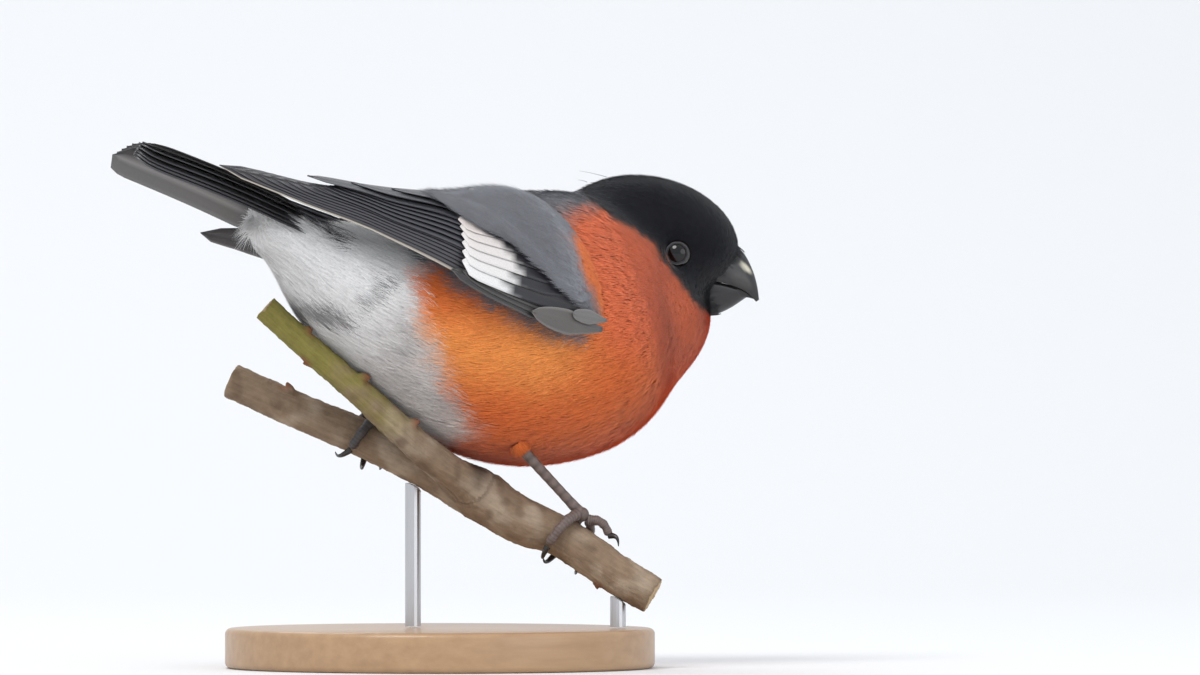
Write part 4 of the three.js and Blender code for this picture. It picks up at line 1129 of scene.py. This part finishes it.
    def loose_hairs(self, material, rng):
        """The few long hairs that stand off the nape, and the bristles over the root of the bill."""
        lines = []
        for right, up, lean, long in ((29.4, 98.4, 0.30, 5.6), (25.4, 97.4, 0.45, 1.9)):
            s = np.linspace(0, 1, 9)
            line = seen(right - long * s, 16.5 + s, up + lean * long * s - 0.4 * s**2)
            lines.append((line, lerp(0.06, 0.02, s), COLOURS["mantle"]))
        for keys, count in (
            (("culmen", "cutting", "half"), 260), (("gonys", "lower_cutting", "lower_half"), 90)
        ):
            rings = mandible_rings(*keys, 0.0)
            inner = rings.mean(1, keepdims=True)
            outer = rings + unit(rings - inner) * 0.16
            last = rings.shape[1] - 1
            for _ in range(count // (1)):
                column = (0.03 + 0.94 * rng.random()) * last
                reach = 2 + rng.random() * 6 * (0.6 + 0.4 * abs(column / last - 0.5) * 2) + 3
                rows = np.linspace(1.5, reach, 6)
                columns = np.clip(column + np.linspace(0, rng.normal() * 0.9, 6), 0, last)
                share = np.linspace(0, 1, 6)
                out = unit(outer[int(reach), int(column)] - inner[int(reach), 0])
                line = grid_at(outer, rows, columns) + out * 0.14 * share[:, None]
                shade = 0.7 + 1.2 * rng.random()
                lines.append((line, lerp(0.085, 0.025, share), np.array((0.011, 0.011, 0.014)) * shade))
        finished(swept("loose_hairs", lines, material, sides=4), material, "plumage", "head")

    def under_wing(self, roots):
        """Roots well under a folded wing, which nothing shows."""
        hidden = np.zeros(len(roots), bool)
        for side in (1, -1):
            sheet = Sheet(side)
            along, over = np.meshgrid(
                np.linspace(0.08, 0.42, 18), np.linspace(0.16, 0.84, 12), indexing="ij"
            )
            cover = sheet.at(along.ravel(), over.ravel())
            for point in cover:
                hidden |= (dot(roots - point, roots - point) < 3.2**2)
        return hidden


class BULLFINCH_OT_wings(bpy.types.Operator):
    """Builds the flight feathers and coverts of both folded wings"""

    bl_idname = "bullfinch.wings"
    bl_label = "Wings"

    def execute(self, context):
        material = flight_material("Flight Feathers")
        down = plume_material("Scapular Down", 0.85)
        rng = np.random.default_rng(11)
        for side, name in ((-1, "wing_right"), (1, "wing_left")):
            sheet = Sheet(side)
            pile = Pile()
            paints = self.paints(side)
            for row, shape in FEATHER_ROWS.items():
                tier(pile, sheet, paints[row], **shape)
            finished(pile.finish(name + "_feathers"), material, "flight_feathers", name)
            self.scapulars(name, sheet, down, rng)
        return {"FINISHED"}

    def paints(self, side):
        """The colours of each row's feathers, given how far through the row a feather lies."""
        line, violet, cream = (0.062, 0.060, 0.068), (0.020, 0.018, 0.027), (0.50, 0.45, 0.38)
        brown = np.array((0.030, 0.027, 0.026))
        # The far (left) wing's undersides are darkened to 0.3 of the near wing's: painted shade
        side_paint = {"outer": -side, "under": GREY_UNDER * (1 if side < 0 else 0.3)}

        def primary(s):
            if s == 0:
                return painted(edge=cream, edge_from=0.72, **side_paint)
            return painted(dark=lerp(DARK, brown, 0.6 * (1 - s)), edge=line, edge_from=0.80, **side_paint)

        def greater_covert(s):
            tip = lerp(np.array((0.68, 0.67, 0.66)), np.array((0.60, 0.54, 0.51)), s)
            start = np.interp(s, (0, 0.4, 0.75, 1), (0.74, 0.64, 0.70, 0.84))
            return painted(
                dark=(0.014, 0.013, 0.017), tip=tip, tip_from=start, soft=0.035, under=(0.2, 0.2, 0.2)
            )

        def alula(s):
            dark = (0.085, 0.075, 0.070) if s == 0 else (0.125, 0.118, 0.112)
            return painted(dark=dark, edge=(0.20, 0.185, 0.175), edge_from=0.86)

        coverts = painted(dark=(0.020, 0.018, 0.018), edge=(0.09, 0.085, 0.08), edge_from=0.78, outer=-side)
        return {
            "primaries": primary,
            "secondaries": lambda s: painted(edge=line, edge_from=0.88, **side_paint),
            "tertials": lambda s: painted(edge=violet, edge_from=0.8, outer=-side),
            "primary_coverts": lambda s: coverts,
            "greater_coverts": greater_covert,
            "median_coverts": lambda s: painted(dark=(0.10, 0.10, 0.108)),
            "lesser_coverts": lambda s: painted(dark=(0.12, 0.12, 0.13)),
            "alula": alula,
        }

    def scapulars(self, name, sheet, material, rng):
        """Soft grey feathers over the front of the wing, up to the white patch and the black coverts."""
        count = 11000
        over = rng.random(count) * 1.06 - 0.02
        tip = np.interp(
            over, (0.0, 0.1, 0.2, 0.3, 0.4, 0.5, 0.67, 1.0),
            (0.04, 0.14, 0.24, 0.335, 0.385, 0.475, 0.530, 0.515)
        )
        along = rng.random(count) * 0.56
        keep = along < tip - 0.04 - 0.02 * rng.random(count)
        keep &= (over > 0.1) & (along > 0.045 + 0.02 * rng.random(count))
        keep[np.cumsum(keep) > ((4800 if name == "wing_right" else 3600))] = False
        along, over, tip = along[keep], over[keep], tip[keep]
        normals = sheet.normal(along, over)
        height = lerp(-0.85, 2.5, smooth(0.0, 0.19, along)) * lerp(0.6, 1, smooth(1.02, 0.86, over))
        height = height + 0.5 * rng.random(len(along))
        roots = sheet.at(along, over)
        way = sheet.at(np.minimum(along + 0.05, 1), over + 0.01) - roots
        roots = roots + normals * (height - 0.35)[:, None]
        way = unit(way - normals * dot(way, normals)[:, None])
        way = unit(turned(way, normals, 0.16 * noise(roots * 0.35, 31)))
        mantle = np.array(COLOURS["mantle"]) * (1 + 0.14 * noise(roots * 0.7, 33))[:, None]
        share = smooth(0.10, 0.17, along)[:, None]
        colours = lerp(marking(roots) * 0.8, mantle, share)
        length = lerp(4.2, 5.4, np.clip((tip - along) / 0.12, 0, 1))
        same = np.ones(len(roots))
        coat_piece(name + "_scapulars", material, [name], tufts(
            roots, way, normals, length, same * 0.16, 9, 0.30, 0.34, same * 0.55, colours, rng,
            stations=2, tip_light=1.12, root_dark=0.86))


# The tail


TAIL_ROOT = np.array([-23.8, 0, 85])
TAIL = axes_of(-21.5, 0)
TAIL_SLOPE_NEAR, TAIL_SLOPE_FAR = 27, 35
TAIL_LENGTH, TAIL_BASE_HALF, TAIL_END_HALF, TAIL_NOTCH = 57, 5, 6.6, 3.4


def on_tail(along, aside, up):
    """A point on the tail, which is folded like a low roof, and the outward normal there."""
    along, aside, up = np.broadcast_arrays(*(np.asarray(v, float) for v in (along, aside, up)))
    tilt = np.radians(
        np.where(aside > 0, TAIL_SLOPE_FAR, TAIL_SLOPE_NEAR) * smooth(-1.5, 4.5, np.abs(aside))
    )
    normal = turned(np.broadcast_to(TAIL[2], (*aside.shape, 3)), TAIL[0], -np.sign(aside) * tilt)
    place = TAIL_ROOT - along[..., None] * TAIL[0] + (aside * np.cos(tilt))[..., None] * TAIL[1]
    return place - (np.abs(aside) * np.sin(tilt))[..., None] * TAIL[2] + up[..., None] * normal, normal


class BULLFINCH_OT_tail(bpy.types.Operator):
    """Builds the twelve tail feathers and the dark coverts over their roots"""

    bl_idname = "bullfinch.tail"
    bl_label = "Tail"

    def execute(self, context):
        pile = Pile()
        for pair in range(6):
            for side in (-1, 1):
                share = pair / 5
                length = TAIL_LENGTH - TAIL_NOTCH * (1 - share**0.8)
                t = np.linspace(0.1, 0.998, 26)
                end_half = TAIL_END_HALF * (0.72 if side > 0 else 1)
                aside = side * lerp(TAIL_BASE_HALF, end_half, t) * lerp(0.12, 1, share)
                path, normal = on_tail(
                    length * t, aside, 1.2 * np.sin(math.pi * t) - 0.3 * pair - (0.15 if side > 0 else 0)
                )
                paint = painted(
                    dark=(0.014, 0.013, 0.016), edge=(0.022, 0.020, 0.025), edge_from=0.8,
                    under=(0.125, 0.120, 0.118), under_edge=side if pair == 5 else 0
                )
                vane(pile, path, normal, lerp(7.6, 9.2, share), paint, tip=0.86)
        for row in range(3):
            for i in range(9):
                share = (i - 4) / 4
                t = np.linspace(0, lerp(0.37, 0.26, abs(share)) - 0.07 * row, 12)
                path, normal = on_tail(
                    TAIL_LENGTH * t, share * 6.2, 1.6 + np.linspace(0.5, 0, 12) + 0.25 * row
                )
                vane(pile, path, normal, 4.8, painted(edge=(0.016, 0.015, 0.022)), tip=0.4, root=0.8)
        finished(pile.finish("tail_feathers"), flight_material("Tail Feathers"), "flight_feathers", "tail")
        return {"FINISHED"}


BILL = {
    "culmen": ((53.5, 85.6), (56.6, 83.6), (58.6, 80.2), (59.7, 76.6), (60.1, 73.7)),
    "cutting": ((47.2, 77.6), (51.0, 77.4), (54.4, 76.6), (57.4, 75.3), (59.5, 73.3)),
    "lower_cutting": ((46.3, 77.6), (50.0, 77.3), (53.4, 76.6), (55.9, 75.8), (57.6, 75.1)),
    "gonys": ((49.4, 70.6), (52.0, 71.0), (54.2, 72.0), (56.1, 73.2), (57.5, 74.2)),
    "half": (4.9, 4.5, 3.5, 2.1, 0.35),
    "lower_half": (4.5, 4.1, 3.2, 2.1, 0.7),
}
BILL_AWAY = dot(in_head(10, 0, 0), AWAY)


def mandible_rings(edge, inner, half, drop, steps=30, arc=22):
    t = np.linspace(0, 1, steps)
    line = [Path([seen(r, BILL_AWAY, u) for r, u in BILL[key]]).at(t) for key in (edge, inner)]
    wide = Path([(i, w, 0) for i, w in enumerate(BILL[half])]).at(t)[:, 1]
    base = line[1] + [0, 0, drop]
    angle = math.pi * (np.arange(arc + 1) / arc - 0.5)
    rise = line[0] - base
    arch = rise[:, None] * np.cos(angle)[None, :, None]
    return base[:, None] + arch + AWAY * (wide[:, None] * np.sin(angle))[..., None]


def grid_at(grid, rows, columns):
    """Points between the points of a grid, at fractional rows and columns."""
    i = np.minimum(rows.astype(int), grid.shape[0] - 2)
    j = np.minimum(columns.astype(int), grid.shape[1] - 2)
    a, b = (rows - i)[:, None], (columns - j)[:, None]
    return lerp(lerp(grid[i, j], grid[i + 1, j], a), lerp(grid[i, j + 1], grid[i + 1, j + 1], a), b)


class BULLFINCH_OT_bill(bpy.types.Operator):
    """Builds the two halves of the stout bill"""

    bl_idname = "bullfinch.bill"
    bl_label = "Bill"

    def execute(self, context):
        s = Shader("Bill", Roughness=0.36, Specular_IOR_Level=0.5, Coat_Weight=0.15)
        grain = s.noise(s.place(), 1400.0)
        s.set(s.surface, "Base Color", s.tint(s.colour(), grain, 0.7, 1.35))
        s.bump(grain, 0.00008, 0.4)
        for name, keys, drop in (
            ("bill_upper", ("culmen", "cutting", "half"), 0.03),
            ("bill_lower", ("gonys", "lower_cutting", "lower_half"), -0.05)
        ):
            pile = Pile()
            rings = mandible_rings(*keys, drop, 44, 30)
            right, up = dot(rings, RIGHT), rings[..., 2]
            colour = np.tile(np.array((0.012, 0.011, 0.012)), (*right.shape, 1))
            if name == "bill_upper":
                # A pale ivory patch along the side of the culmen: partly worn horn, partly a painted
                # highlight
                worn_and_highlight = self.spot(right - 57.4, up - 80.2, 1.7, 0.55, -1.1)
                colour = lerp(colour, np.array((0.62, 0.58, 0.46)), 0.85 * worn_and_highlight[..., None])
                # Painted shade: a near-black spot where the nostril pit lies in shadow
                nostril_shade = self.spot(right - 52.2, up - 80.6, 0.9, 0.6, 0.3)
                colour = lerp(colour, np.array((0.003, 0.003, 0.003)), nostril_shade[..., None])
                # A painted grey sheen on the side of the upper mandible
                grey = self.spot(right - 56.5, up - 77.6, 3.0, 1.4, -0.7)
                colour = lerp(colour, np.array((0.050, 0.045, 0.042)), 0.6 * grey[..., None])
            pile.loft(rings, colour)
            if name == "bill_lower":
                mouth = mandible_rings("gonys", "cutting", "lower_half", 0.35, 24, 16)
                middle = mouth.mean(1, keepdims=True)
                pile.loft(
                    lerp(middle, mouth, 0.86) + UP * 0.15 - RIGHT * 0.25, np.array((0.008, 0.007, 0.007))
                )
            finished(pile.finish(name + "_horn"), s.material, "bill", name)
        return {"FINISHED"}

    def spot(self, right, up, long, wide, slope):
        turn = math.atan(slope)
        a, b = right * math.cos(turn) + up * math.sin(turn), up * math.cos(turn) - right * math.sin(turn)
        return smooth(1.3, 0.4, np.hypot(a / long, b / wide))


class BULLFINCH_OT_eyes(bpy.types.Operator):
    """Builds the eyes, the ring of lid round each, and a near-black ring of painted shade between lid and eye
    """

    bl_idname = "bullfinch.eyes"
    bl_label = "Eyes"

    def execute(self, context):
        s = Shader("Eye", Roughness=0.06, Specular_IOR_Level=0.42)
        s.set(s.surface, "Base Color", s.colour())
        lid = Shader("Lid and Shade Rings", Roughness=0.6)
        lid.set(lid.surface, "Base Color", lid.colour())
        lid.bump(lid.noise(lid.place(), 2500.0), 0.00008, 0.6)
        for side, name in ((-1, "right"), (1, "left")):
            axis = SKULL[1] * side
            first = unit(np.cross(axis, UP))
            second = np.cross(axis, first)
            polar = np.linspace(0.02, math.pi - 0.02, 40)
            round_it = np.linspace(0, 2 * math.pi, 56, endpoint=False)
            ring = axis * np.cos(polar)[:, None, None] + np.sin(polar)[:, None, None] * (
                first * np.cos(round_it)[:, None] + second * np.sin(round_it)[:, None])
            pile = Pile()
            colour = np.where(
                (polar < 0.42)[:, None], np.array([0.001] * 3), np.array((0.006, 0.0035, 0.003))
            )
            pile.loft(EYES[side] + EYE_RADIUS * ring, np.repeat(colour[:, None], 56, 1))
            finished(pile.finish("eyeball_" + name), s.material, "eye", "eye_" + name)
            pile = Pile()
            angle = np.linspace(0, 2 * math.pi, 72, endpoint=False)
            small = np.linspace(0, 2 * math.pi, 14, endpoint=False)
            spoke = first * np.cos(angle)[:, None] + second * np.sin(angle)[:, None]
            # The outer ring is the grey lid. The inner near-black ring is painted shade in the gap between
            # lid and eyeball
            for wide, tube, lift, colour in (
                (2.22, 0.13, 0.22, (0.040, 0.040, 0.046)), (1.98, 0.22, 0.12, (0.006, 0.006, 0.007))
            ):
                middle = CHEEK[side] + axis * lift + spoke * (wide + 0.03 * np.sin(angle * 9))[:, None]
                around = (tube + 0.03 * np.sin(angle * 31))[:, None]
                outward_part = spoke[:, None] * (around * np.cos(small))[..., None]
                rings = middle[:, None] + outward_part + axis * (around * np.sin(small))[..., None]
                rows, columns = rings.shape[:2]
                pile.add(rings, [grid_faces(rows + 1, columns) % (rows * columns)], np.array(colour))
            finished(pile.finish("lid_and_shade_rings_" + name), lid.material, "cap", "head")
        return {"FINISHED"}


class BULLFINCH_OT_feet(bpy.types.Operator):
    """Builds the shanks, toes and claws that grip the branch"""

    bl_idname = "bullfinch.feet"
    bl_label = "Feet"

    def execute(self, context):
        s = Shader("Scaled Skin", Roughness=0.5, Specular_IOR_Level=0.4)
        grain = s.noise(s.place(), 1800.0)
        s.set(s.surface, "Base Color", s.tint(s.colour(), grain, 0.7, 1.4))
        s.bump(grain, 0.0001, 0.4)
        horn = Shader("Claw", Roughness=0.25, Base_Color=(0.02, 0.017, 0.016))
        for name, (at, tilt, toes) in FEET.items():
            # The far (left) foot takes a darker tone than the near one: painted shade
            tone = np.array((0.115, 0.085, 0.075)) if name == "right" else np.array((0.055, 0.048, 0.048))
            foot = on_branch(at, 0, np.float64(tilt), BARK_ROOM + 1.35)
            t = np.linspace(0, 1, 60)
            scute = np.abs(np.sin(t * math.pi * 9))
            shank = lerp(1.05, 0.88, t) + 0.35 * t**6 + 0.05 * scute
            # The shank's colour is lighter on each scute: the scale pattern, with painted highlights on the
            # scutes
            lines = [(lerp(ANKLE[name], foot, t[:, None]), shank, tone * (0.75 + 0.6 * scute)[:, None])]
            ball = np.linspace(0.1, math.pi - 0.1, 14)
            lines.append((foot + np.outer(-np.cos(ball), UP) * 1.5, 1.5 * np.sin(ball), tone))
            for toe_name, (shift, turn, claw_turn, claw_shift, radius, arch) in toes.items():
                t = np.linspace(0, 1, 56)
                own = lerp(radius[0], radius[1], t)
                path = on_branch(
                    at, lerp(*shift, t), lerp(*turn, t), BARK_ROOM + own + arch * np.sin(math.pi * t)
                )
                pads = np.abs(np.sin(t * 14 * math.pi))
                rings = 1.05 + 0.07 * np.cos(t * 7 * math.pi) - 0.09 * pads**0.5
                end = np.sqrt(np.clip(1 - (np.clip(t - 0.93, 0, 1) / 0.072) ** 2, 0.05, 1))
                # The toes' colour is lighter on each pad: the scale pattern, with painted highlights on the
                # pads
                lines.append((path, own * rings * end, tone * (0.8 + 0.45 * pads)[:, None]))
                t = np.linspace(0, 1, 30)
                room = BARK_ROOM + radius[1]
                height = room + 0.9 * np.sin(math.pi * t * 0.85) - (room - 0.7) * t**2
                path = on_branch(
                    at, lerp(shift[1], claw_shift, t), turn[1] + (claw_turn - turn[1]) * (0.1 + 0.9 * t),
                    height
                )
                nail = swept(
                    f"nail_{name}_{toe_name}", [(path, lerp(0.66, 0.10, t**1.2), (0.02, 0.02, 0.02))],
                    horn.material
                )
                finished(nail, horn.material, "claw", f"claw_{name}_{toe_name}")
            finished(swept("toes_" + name, lines, s.material, sides=16), s.material, "foot", "foot_" + name)
        return {"FINISHED"}


class BULLFINCH_OT_branch(bpy.types.Operator):
    """Builds the cut, forked branch with its bark and buds"""

    bl_idname = "bullfinch.branch"
    bl_label = "Branch"

    def execute(self, context):
        cell = 0.55

        def limbs(p, fine):
            """Distances to both limbs, each cut square at its outer ends, and where along them a point is."""
            found = []
            for path, radii, samples, ends in (
                (MAIN_PATH, MAIN_RADIUS, 44, (0, 1)), (FORK_PATH, FORK_RADIUS, 26, (1,))
            ):
                distance, share = near_path(p, path, radii, samples * fine)
                for end in ends:
                    beyond = dot(p - path.at(end), path.tangent(end)) * (1 if end else -1)
                    distance = np.maximum(distance, beyond)
                found += [distance, share]
            return found

        def field(p):
            main, share, fork, _ = limbs(p, 1)
            near = np.maximum(2.5 - np.abs(main - fork), 0) / 2.5
            wood = np.minimum(main, fork) - near * near * 2.5 / 4
            for root, along, radius, reach in self.buds():
                t = np.clip(dot(p - root, along) / reach, 0, 1)
                gap = np.linalg.norm(p - root - (t * reach)[..., None] * along, axis=-1)
                wood = np.minimum(wood, gap - radius * (0.75 + 0.4 * np.sin(t * 3)) * (1 - 0.8 * t**6))
            scar = np.linalg.norm((p - SCAR) * [1, 1, 1.6], axis=-1)
            rough = 0.14 * noise(p * 0.9, 5) + 0.10 * noise(p * 2.2, 6)
            return wood + rough - 0.9 * smooth(4.2, 1.5, scar) + 0.7 * smooth(2.2, 0.6, scar)

        low = np.array([-44, -30, 9]) - 3
        points, quads = surface_of(field, low, (36, 38, 78), cell)
        main, share, fork, fork_share = limbs(points, 2)
        on_fork = fork < main
        middle = np.where(on_fork[:, None], FORK_PATH.at(fork_share), MAIN_PATH.at(share))
        along = np.where(on_fork[:, None], FORK_PATH.tangent(fork_share), MAIN_PATH.tangent(share))
        out = unit(points - middle)
        round_it = np.arctan2(
            dot(out, unit(np.cross(along, UP))), dot(out, unit(np.cross(np.cross(along, UP), along)))
        )
        bark = np.stack([round_it / (2 * math.pi), np.where(on_fork, fork_share * 0.7, share) * 1.6], -1)
        colour = np.tile(np.array(BARK_COLOURS["brown"]), (len(points), 1))
        colour = blend(colour, BARK_COLOURS["pale"], smooth(-0.1, 0.7, noise(points * 0.30, 8)) * 0.8)
        colour = blend(colour, BARK_COLOURS["dark"], smooth(0.2, 0.8, noise(points * 0.42, 12)) * 0.6)
        young = on_fork * smooth(0.3, 0.75, fork_share + 0.12 * noise(points * 0.4, 13))
        colour = blend(colour, BARK_COLOURS["young"], young)
        scar = np.linalg.norm(points - SCAR, axis=-1)
        colour = blend(colour, BARK_COLOURS["scar"], smooth(4.4, 2.2, scar) * 0.9)
        for root, bud_along, radius, reach in self.buds():
            from_tip = np.linalg.norm(points - root - bud_along * reach, axis=-1)
            colour = blend(colour, BARK_COLOURS["bud"], smooth(radius + 1.6, radius * 0.6, from_tip) * 0.9)
        for path, radii, end in (
            (MAIN_PATH, MAIN_RADIUS, 0), (MAIN_PATH, MAIN_RADIUS, 1), (FORK_PATH, FORK_RADIUS, 1)
        ):
            from_end = points - path.at(end)
            depth = np.abs(dot(from_end, path.tangent(end)))
            radial = np.linalg.norm(from_end, axis=-1) / radii[-1 if end else 0]
            wood = np.tile(np.array(BARK_COLOURS["cut"]), (len(points), 1))
            wood = blend(wood, BARK_COLOURS["cut_ring"], 0.5 + 0.5 * np.sin(radial * 26))
            colour = colour + (wood - colour) * (
                smooth(0.5, 0.25, depth) * smooth(0.9, 0.84, radial)
            )[:, None]
        mesh = mesh_from("branch", points, [quads], colour, {"Bark": bark})
        outward(mesh)
        s = Shader("Bark", Roughness=0.82, Specular_IOR_Level=0.2)
        strands = s.noise(s.scaled(s.uv("Bark"), (26.0, 9.0, 1.0)), 1.0, 6.0, 0.62)
        grain = s.noise(s.place(), 620.0, 5.0, 0.6)
        both = s.math("ADD", s.math("MULTIPLY", strands, 0.6), s.math("MULTIPLY", grain, 0.4))
        s.set(s.surface, "Base Color", s.tint(s.colour(), both, 0.35, 1.65))
        s.bump(both, 0.0007, 0.8)
        finished(new_object("branch", mesh), s.material, "bark", "perch")
        return {"FINISHED"}

    def buds(self):
        for right, away, up, angle, radius, length in BUDS:
            along = unit(seen(math.sin(math.radians(angle)), -0.25, math.cos(math.radians(angle))))
            reach = (4.6 if right > -11 else 3.4 if right < -30 and away > 0 else 2.4) + length
            yield seen(right, away, up), along, radius, reach


class BULLFINCH_OT_stand(bpy.types.Operator):
    """Gives the stand's base and rods their finish"""

    bl_idname = "bullfinch.stand"
    bl_label = "Stand"

    def execute(self, context):
        wood = Shader("Stand Wood", Roughness=0.4, Coat_Weight=0.2)
        grain = wood.noise(wood.scaled(wood.place(), (22.0, 420.0, 420.0)), 1.0, 5.0, 0.6)
        dark, pale = (0.30, 0.17, 0.085, 1.0), (0.50, 0.32, 0.175, 1.0)
        base = wood.node("Mix", out=2, props={"data_type": "RGBA"}, Factor=grain, i6=dark, i7=pale)
        wood.set(wood.surface, "Base Color", base)
        metal = Shader("Stand Rod", Roughness=0.3, Metallic=1.0, Base_Color=(0.55, 0.55, 0.56))
        for name in ("stand_rod_rear", "stand_rod_front"):
            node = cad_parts[name]
            node.data.materials.clear()
            node.data.materials.append(metal.material)
        flat, edge = BASE_RADIUS - BASE_EDGE, BASE_EDGE
        foot = np.linspace(0, math.pi / 2, 6)
        rim = np.linspace(0, math.pi / 2, 8)
        profile = [(flat + edge * math.sin(a), edge - edge * math.cos(a)) for a in foot]
        profile += [(flat + edge * math.cos(a), BASE_HEIGHT - edge + edge * math.sin(a)) for a in rim]
        angle = np.linspace(0, 2 * math.pi, 160, endpoint=False)
        rings = np.array(
            [np.stack([r * np.cos(angle), r * np.sin(angle), 0 * angle + h], -1) for r, h in profile]
        )
        pile = Pile()
        pile.loft(rings + seen(STAND_RIGHT, 0.0, 0.0), np.array((0.5, 0.3, 0.2)))
        finished(pile.finish("base"), wood.material, "stand_wood", "stand_base")
        return {"FINISHED"}


class BULLFINCH_OT_stage(bpy.types.Operator):
    """Adds the floor, the backdrop, the lights and the camera"""

    bl_idname = "bullfinch.stage"
    bl_label = "Stage"

    def execute(self, context):
        scene = context.scene
        settings = scene.bullfinch_stage
        aim = (seen(28.0, 0.0, 66.1) + SHIFT) / 1000
        sweep = [(0.7 + 1.1 * math.sin(a), 1.1 - 1.1 * math.cos(a)) for a in np.linspace(0.06, 1.57, 24)]
        profile = [(-2.8, 0.0), (0.7, 0.0)] + sweep + [(1.8, 3.2)]
        points = np.array(
            [aim * [1, 1, 0] + AWAY * d + RIGHT * w + UP * h for d, h in profile for w in (-3.5, 3.5)]
        )
        mesh = bpy.data.meshes.new("floor")
        faces = [(2 * i, 2 * i + 1, 2 * i + 3, 2 * i + 2) for i in range(len(profile) - 1)]
        mesh.from_pydata([tuple(p) for p in points], [], faces)
        for polygon in mesh.polygons:
            polygon.use_smooth = True
        floor = new_object("floor", mesh)
        s = Shader("Floor", Roughness=0.85, Base_Color=tuple(settings.floor))
        mesh.materials.append(s.material)

        def lamp(name, right, away, up, size, power, colour):
            data = bpy.data.lights.new(name, "AREA")
            data.shape, data.size, data.energy, data.color = "DISK", size, power * settings.light, colour
            obj = new_object(name, data)
            place = aim + RIGHT * right + AWAY * away + UP * up
            obj.location = place
            back = unit(place - aim)
            side = unit(np.cross(UP, back))
            top = np.cross(back, side)
            matrix = np.eye(4)
            matrix[:3, 0], matrix[:3, 1], matrix[:3, 2], matrix[:3, 3] = side, top, back, place
            obj.matrix_world = Matrix(matrix.tolist())

        lamp("Key", -0.5, -0.9, 1.3, 0.8, 14.0, (1.0, 0.985, 0.96))
        lamp("Fill", 1.2, -1.0, 0.35, 1.2, 5.0, (0.95, 0.97, 1.0))
        lamp("Back", -0.3, 0.9, 1.1, 0.8, 5.0, (1.0, 1.0, 1.0))
        world = bpy.data.worlds.new("Studio")
        world.use_nodes = True
        world.node_tree.nodes["Background"].inputs["Color"].default_value = (0.90, 0.94, 1.0, 1)
        world.node_tree.nodes["Background"].inputs["Strength"].default_value = 0.92
        scene.world = world

        data = bpy.data.cameras.new("Camera")
        data.sensor_width = 36.0
        data.lens = 36.0 * settings.distance / 0.24
        data.clip_start, data.clip_end = 0.1, 20.0
        camera = new_object("Camera", data)
        place = aim - AWAY * settings.distance
        matrix = np.eye(4)
        matrix[:3, 0], matrix[:3, 1], matrix[:3, 2], matrix[:3, 3] = RIGHT, UP, -AWAY, place
        camera.matrix_world = Matrix(matrix.tolist())
        scene.camera = camera
        scene.view_settings.view_transform = "Standard"
        return {"FINISHED"}


class BULLFINCH_PT_panel(bpy.types.Panel):
    """Lists the settings and the pieces"""

    bl_idname = "BULLFINCH_PT_panel"
    bl_label = "Bullfinch"
    bl_space_type = "VIEW_3D"
    bl_region_type = "UI"
    bl_category = "Bullfinch"

    def draw(self, context):
        for group in (context.scene.bullfinch_plumage, context.scene.bullfinch_stage):
            for key in group.__annotations__:
                self.layout.prop(group, key)
        for operator in OPERATORS:
            self.layout.operator(operator.bl_idname)


GROUPS = (BullfinchPlumage, BullfinchStage)
OPERATORS = (
    BULLFINCH_OT_skin, BULLFINCH_OT_wings, BULLFINCH_OT_tail, BULLFINCH_OT_bill, BULLFINCH_OT_eyes,
    BULLFINCH_OT_feet, BULLFINCH_OT_branch, BULLFINCH_OT_stand, BULLFINCH_OT_stage,
)  # fmt: skip


def register():
    for cls in (*GROUPS, *OPERATORS, BULLFINCH_PT_panel):
        bpy.utils.register_class(cls)
    bpy.types.Scene.bullfinch_plumage = bpy.props.PointerProperty(type=BullfinchPlumage)
    bpy.types.Scene.bullfinch_stage = bpy.props.PointerProperty(type=BullfinchStage)


def unregister():
    del bpy.types.Scene.bullfinch_stage, bpy.types.Scene.bullfinch_plumage
    for cls in reversed((*GROUPS, *OPERATORS, BULLFINCH_PT_panel)):
        bpy.utils.unregister_class(cls)


def main():
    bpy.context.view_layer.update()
    register()
    for operator in OPERATORS:
        group, name = operator.bl_idname.split(".")
        getattr(getattr(bpy.ops, group), name)()
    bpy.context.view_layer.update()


if __name__ == "__main__":
    main()
